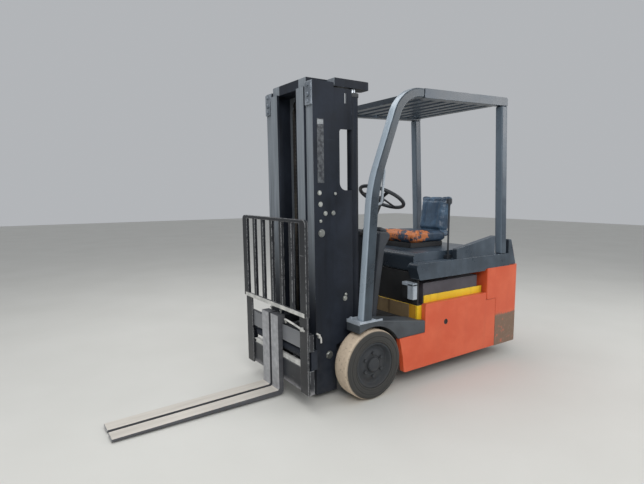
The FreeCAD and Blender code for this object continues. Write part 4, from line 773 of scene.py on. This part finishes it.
def leaf_chain(name, x, y, low, high, width=0.024):
    """Link plates laced on pins from one height to another, drawn upright in millimetres."""
    bpy.ops.object.select_all(action="DESELECT")
    plates = []
    for row in range(5):
        shift = (row % 2) * LINK_PITCH / 2
        across = (row - 2) * width / 5
        bpy.ops.mesh.primitive_cube_add(size=1, scale=(0.011, width / 6.5, LINK_PITCH * 0.94),
                                        location=truck(x, y, low) + Vector((0, across, LINK_PITCH / 2 + shift)))
        plates.append(bpy.context.object)
        bpy.ops.object.transform_apply(location=True, rotation=False, scale=True)
        bpy.ops.object.mode_set(mode="EDIT")
        bpy.ops.mesh.select_all(action="SELECT")
        bpy.ops.mesh.bevel(offset=0.0022, segments=1, affect="EDGES")
        bpy.ops.object.mode_set(mode="OBJECT")
    chain = joined(name, *plates)
    repeat = chain.modifiers.new("links", "ARRAY")
    repeat.use_relative_offset, repeat.use_constant_offset = False, True
    repeat.constant_offset_displace = (0, 0, LINK_PITCH)
    repeat.count = int((high - low) / 1000 / LINK_PITCH - 0.5)
    pick(chain)
    bpy.ops.object.modifier_apply(modifier="links")
    return settled(chain, name, leant=True)


for side, sign in (("left", 1), ("right", -1)):
    front_run = leaf_chain(f"lift_chain_front_{side}", 209.3, 98 * sign, 491, 1925)
    rear_run = leaf_chain(f"lift_chain_rear_{side}", 106.7, 98 * sign, 1111, 1925)
    for run, node, still, moving in ((front_run, "lift_chains_front", "inner_mast", "carriage"),
                                     (rear_run, "lift_chains_rear", "outer_mast", "inner_mast")):
        run.data.materials.append(chain_steel)
        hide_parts(node)
        if moving == "carriage":
            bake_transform(run)
        else:
            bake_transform(run)
print("chain faces:", len(front_run.data.polygons), len(rear_run.data.polygons))

# %% [markdown]
# ## Small parts on the mast
# The mast's sides carry bolted clamps, a blank plate and roller brackets at the top. The bolts' zinc is bright where
# the paint has come off, so they show as pale dots. A steel pipe feeds the side shift across the carriage's top bar.

# %% Mast side: bolts, blank plate, pipe clamp
MAST_SIDE_Y = 285
MAST_BOLTS = ((272, 1337, 0.022), (266, 1266, 0.024), (229, 1208, 0.022), (167, 1208, 0.022), (266, 1161, 0.015),
              (260, 1085, 0.036), (150, 1330, 0.015), (80, 643, 0.026),
              (74, 668, 0.016), (212, 285, 0.040))
mast_bolts = []
for x, z, across in MAST_BOLTS:
    mast_bolts.append(bolt("mast_bolt", (x, MAST_SIDE_Y, z), (0, 1, 0), across, 0.007, leant=True))
left_bolts = joined("mast_bolts_left", *mast_bolts)
for bolts in (left_bolts, twin(left_bolts, "mast_bolts_right")):
    finish(bolts, zinc, "outer_mast", "bright_steel")
strip = bar("blank_plate_left", (236, MAST_SIDE_Y - 0.5, 1398), (285, MAST_SIDE_Y + 1.2, 1790), 0.0005, leant=True)
finish(strip, label_foil, "outer_mast", "mast_dark")
band = bar("plate_band_left", (238, MAST_SIDE_Y, 1755), (282, MAST_SIDE_Y + 2, 1784), 0.0008, leant=True)
finish(band, pale_plate, "outer_mast", "bright_steel")

# %% Roller brackets at the outer mast's top
bracket = bar("roller_bracket", (314, 215, 1868), (327, 284, 2008), 0.005, leant=True)
pin = lathed("roller_pin", ((0, 6), (12, 6), (14, 4), (14, -4), (0, -4)), LEAN @ truck(329, 250, 1930), (1, 0, 0), 32)
cap = joined("roller_bracket_left", bracket, pin,
             bolt("bracket_bolt", (327, 250, 1985), (1, 0, 0), 0.017, 0.006, leant=True),
             bolt("bracket_bolt", (327, 250, 1890), (1, 0, 0), 0.017, 0.006, leant=True))
for piece in (cap, twin(cap, "roller_bracket_right")):
    finish(piece, rail_steel, "outer_mast", "bright_steel")

# %% Cylinder glands and the hose pipe up the mast's side
for side, sign in (("left", 1), ("right", -1)):
    gland = lathed(f"lift_gland_{side}", ((24, -8), (39, -8), (41, -4), (41, 14), (37, 18), (24, 18), (24, -8)),
                   truck(-24, 245 * sign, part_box("lift_barrels")[1].z * 1000 - 12), (0, 0, 1), 48)
    gland.data.transform(LEAN)
    finish(gland, motor_grey, "outer_mast", "mast_dark")
print("mast bolts:", len(MAST_BOLTS) * 2)

# %% [markdown]
# ## Side shift pipe and fork locks
# Fork hooks are held on the top bar by spring pins with a small knob. The pale pipe that crosses the bar is bent
# steel line: a curve with a round bevel, made a mesh, follows such a bend best.

# %% Bent pipe
def bent_pipe(name, points, radius, leant=False):
    """A steel pipe through a few points in drawing millimetres, with smooth bends."""
    line = bpy.data.curves.new(name, "CURVE")
    line.dimensions, line.bevel_depth, line.bevel_resolution = "3D", radius, 4
    line.use_fill_caps, line.resolution_u = True, 10
    route = line.splines.new("NURBS")
    route.points.add(len(points) - 1)
    for point, place in zip(route.points, points):
        point.co = (*truck(*place), 1)
    route.order_u, route.use_endpoint_u = 3, True
    holder = bpy.data.objects.new(name, line)
    scene.collection.objects.link(holder)
    pick(holder)
    bpy.ops.object.convert(target="MESH")
    pipe = bpy.context.object
    if leant:
        pipe.data.transform(LEAN)
    bpy.ops.object.shade_smooth()
    return pipe


carriage_pipe = bent_pipe("side_shift_pipe", ((430, 108, 499), (440, 120, 520), (460, 140, 536), (466, 190, 538),
                                              (466, 260, 531), (466, 340, 521), (466, 380, 515)), 0.0065, leant=True)
clamp = bar("pipe_clamp", (458, 348, 508), (475, 364, 531), 0.002, leant=True)
finish(joined("side_shift_pipe", carriage_pipe, clamp), nylon, "carriage", "bright_steel")
mast_pipe = bent_pipe("mast_side_pipe", ((313, 291, 447), (304, 291, 440), (292, 291, 428), (283, 291, 412),
                                         (281, 291, 396), (281, 291, 380)), 0.0065, leant=True)
clamp = bar("pipe_clamp", (290, 284, 416), (304, 299, 440), 0.002, leant=True)
finish(joined("mast_side_pipe", mast_pipe, clamp), nylon, "outer_mast", "bright_steel")
slide = bar("lower_slide_strip", (424, -300, 265.5), (446.5, 300, 296), 0.003, leant=True)
finish(slide, nylon, "carriage", "bright_steel")
foot_strip = bar("backrest_foot_strip", (468.8, -392, 598), (471, 392, 624), 0.0008, leant=True)
finish(foot_strip, nylon, "carriage", "bright_steel")
for number, y in enumerate((42, -80)):
    knob = lathed(f"fork_lock_{number}", ((0, 26), (7, 25), (10, 21), (9, 16), (5, 12), (5, -2), (0, -2)),
                  LEAN @ truck(430, y, 548), (0, 0, 1), 32)
    finish(knob, zinc, "carriage", "bright_steel")

# %% [markdown]
# ## Body details
# The front end of the battery's yellow cover is darker with stains and painted shade, and partly hidden by a brown
# board that also carries painted shade. The case beside it is pale, the side panel has a dark rubber plug in its
# lifting hole, and the truck's tow pin stands in the counterweight.

# %% Battery front, case and plates
# The ochre front and the brown board are darker than the yellow cover: dirt, and painted shade on the front face.
stain = bar("stained_cover_with_painted_shade", (-433.5, 362, 442), (-431.5, 424, 545), 0.0005)
finish(stain, ochre, "chassis", "battery_yellow")
board = bar("cover_board", (-433.5, -300, 441), (-428, 361, 545), 0.0015)
finish(board, brown_board, "chassis", "battery_yellow")
case_top = bar("case_cover_top", (-445, 317, 684), (-400, 426, 708), 0.004)
case_side = bar("case_cover_side", (-445, 372, 589), (-400, 426, 700), 0.004)
case = joined("case_cover", case_top, case_side)
finish(case, pale_paint, "chassis", "frame_dark")
side_plate = bar("battery_side_plate", (-640, 413, 614), (-508, 415.5, 690), 0.0008)
finish(side_plate, label_foil, "chassis", "frame_dark")

# %% Panel plug, foot plate and tow pin
PANEL_HOLE = truck(-690, 480, 405)
plug = lathed("panel_plug", ((0, -6), (11, -6), (13, 0.5), (19, 1.5), (21, -0.5), (21, -2), (0, -8)), PANEL_HOLE,
              (0, 1, 0), 40)
for piece in (plug, twin(plug, "panel_plug_right")):
    finish(piece, rubber_mat, "chassis", "moulded_black")
for side, sign in (("left", 1), ("right", -1)):
    low_y, high_y = sorted((352 * sign, 478 * sign))
    foot = bar(f"pillar_foot_{side}", (-14, low_y, 522), (118, high_y, 528), 0.002)
    foot_bolts = [bolt("foot_bolt", (x, 365 * sign, 528), (0, 0, 1), 0.019, 0.008) for x in (10, 100)]
    finish(joined(f"pillar_foot_{side}", foot, *foot_bolts), pale_paint, "chassis", "guard_grey")
    # The pale lips along the step's front and outer top edges stand for the bright line along that edge: a painted
    # highlight.
    low_y, high_y = sorted((346 * sign, 479 * sign))
    front_lip = bar("step_lip_painted_highlight", (118, low_y, 503), (122, high_y, 525), 0.0015)
    low_y, high_y = sorted((476 * sign, 481.5 * sign))
    side_lip = bar("step_lip_painted_highlight", (-70, low_y, 512), (121, high_y, 525), 0.0015)
    finish(joined(f"step_lip_painted_highlight_{side}", front_lip, side_lip), pale_paint, "chassis", "guard_grey")
tow_pin = lathed("tow_pin", ((0, 0), (15, 0), (15, 4), (22, 6), (24, 12), (22, 18), (8, 22), (8, 34), (15, 40),
                             (18, 50), (14, 60), (0, 64)), truck(-1550, 0, 750), (0, 0, 1), 48)
finish(tow_pin, zinc, "chassis", "bright_steel")
print("body details done")

# %% Floor ribs
ribs = []
for number in range(9):
    y = -300 + number * 75
    ribs.append(bar("rib", (-420, y - 10, 439.5), (-115, y + 10, 443), 0.001))
finish(joined("floor_ribs", *ribs), rubber_mat, "chassis", "frame_dark")
# %% [markdown]
# ## Dash and grab handle
# A meter pod with a glass dial and a key switch sits on the cowl. The driver climbs in by a steel handle on the
# left front pillar: one bent rod whose ends go square into the tube.

# %% Meter pod, key switch and grab handle
pod = bar("meter_pod", (-262, 216, 1066), (-196, 306, 1094), 0.009, turn=(0, -18, 0))
dial = lathed("meter_dial", ((0, 0), (24, 0), (27, 2), (31, 2), (32, -2), (30, -4), (0, -4)),
              truck(-231, 261, 1095), Matrix.Rotation(math.radians(-18), 3, "Y") @ Vector((0, 0, 1)), 40)
finish(pod, black_plastic, "chassis", "moulded_black")
finish(dial, dark_glass, "chassis", "moulded_black")
key = joined("key_switch", lathed("key_collar", ((0, 0), (14, 0), (14, 5), (10, 7), (0, 7)), truck(-226, 190, 1064),
                                  (0, 0, 1), 32),
             bar("key_blade", (-229, 182, 1070), (-223, 198, 1092), 0.001))
finish(key, zinc, "chassis", "bright_steel")
grab = bent_pipe("grab_handle", ((-12, 449, 1262), (-60, 449, 1262), (-76, 449, 1274), (-80, 449, 1320),
                                 (-92, 449, 1440), (-96, 449, 1478), (-86, 449, 1492), (-50, 449, 1492)), 0.009)
finish(grab, pale_paint, "chassis", "guard_grey")

# %% Rear lamp lenses and hood latch
LAMP_SLOPE = math.degrees(math.atan2(69, 196))
for side, sign in (("left", 1), ("right", -1)):
    low_y, high_y = sorted((433 * sign, 461 * sign))
    lens = bar(f"lamp_lens_{side}", (-1529, low_y, 812), (-1521, high_y, 912), 0.003, turn=(0, LAMP_SLOPE, 0))
    finish(lens, lamp_red, "chassis", "lamp_red")
latch = joined("hood_latch", bar("latch_plate", (-441, -46, 812), (-437, 46, 858), 0.0015),
               bar("latch_grip", (-438, -30, 826), (-424, 30, 842), 0.005))
finish(latch, black_plastic, "hood", "moulded_black")
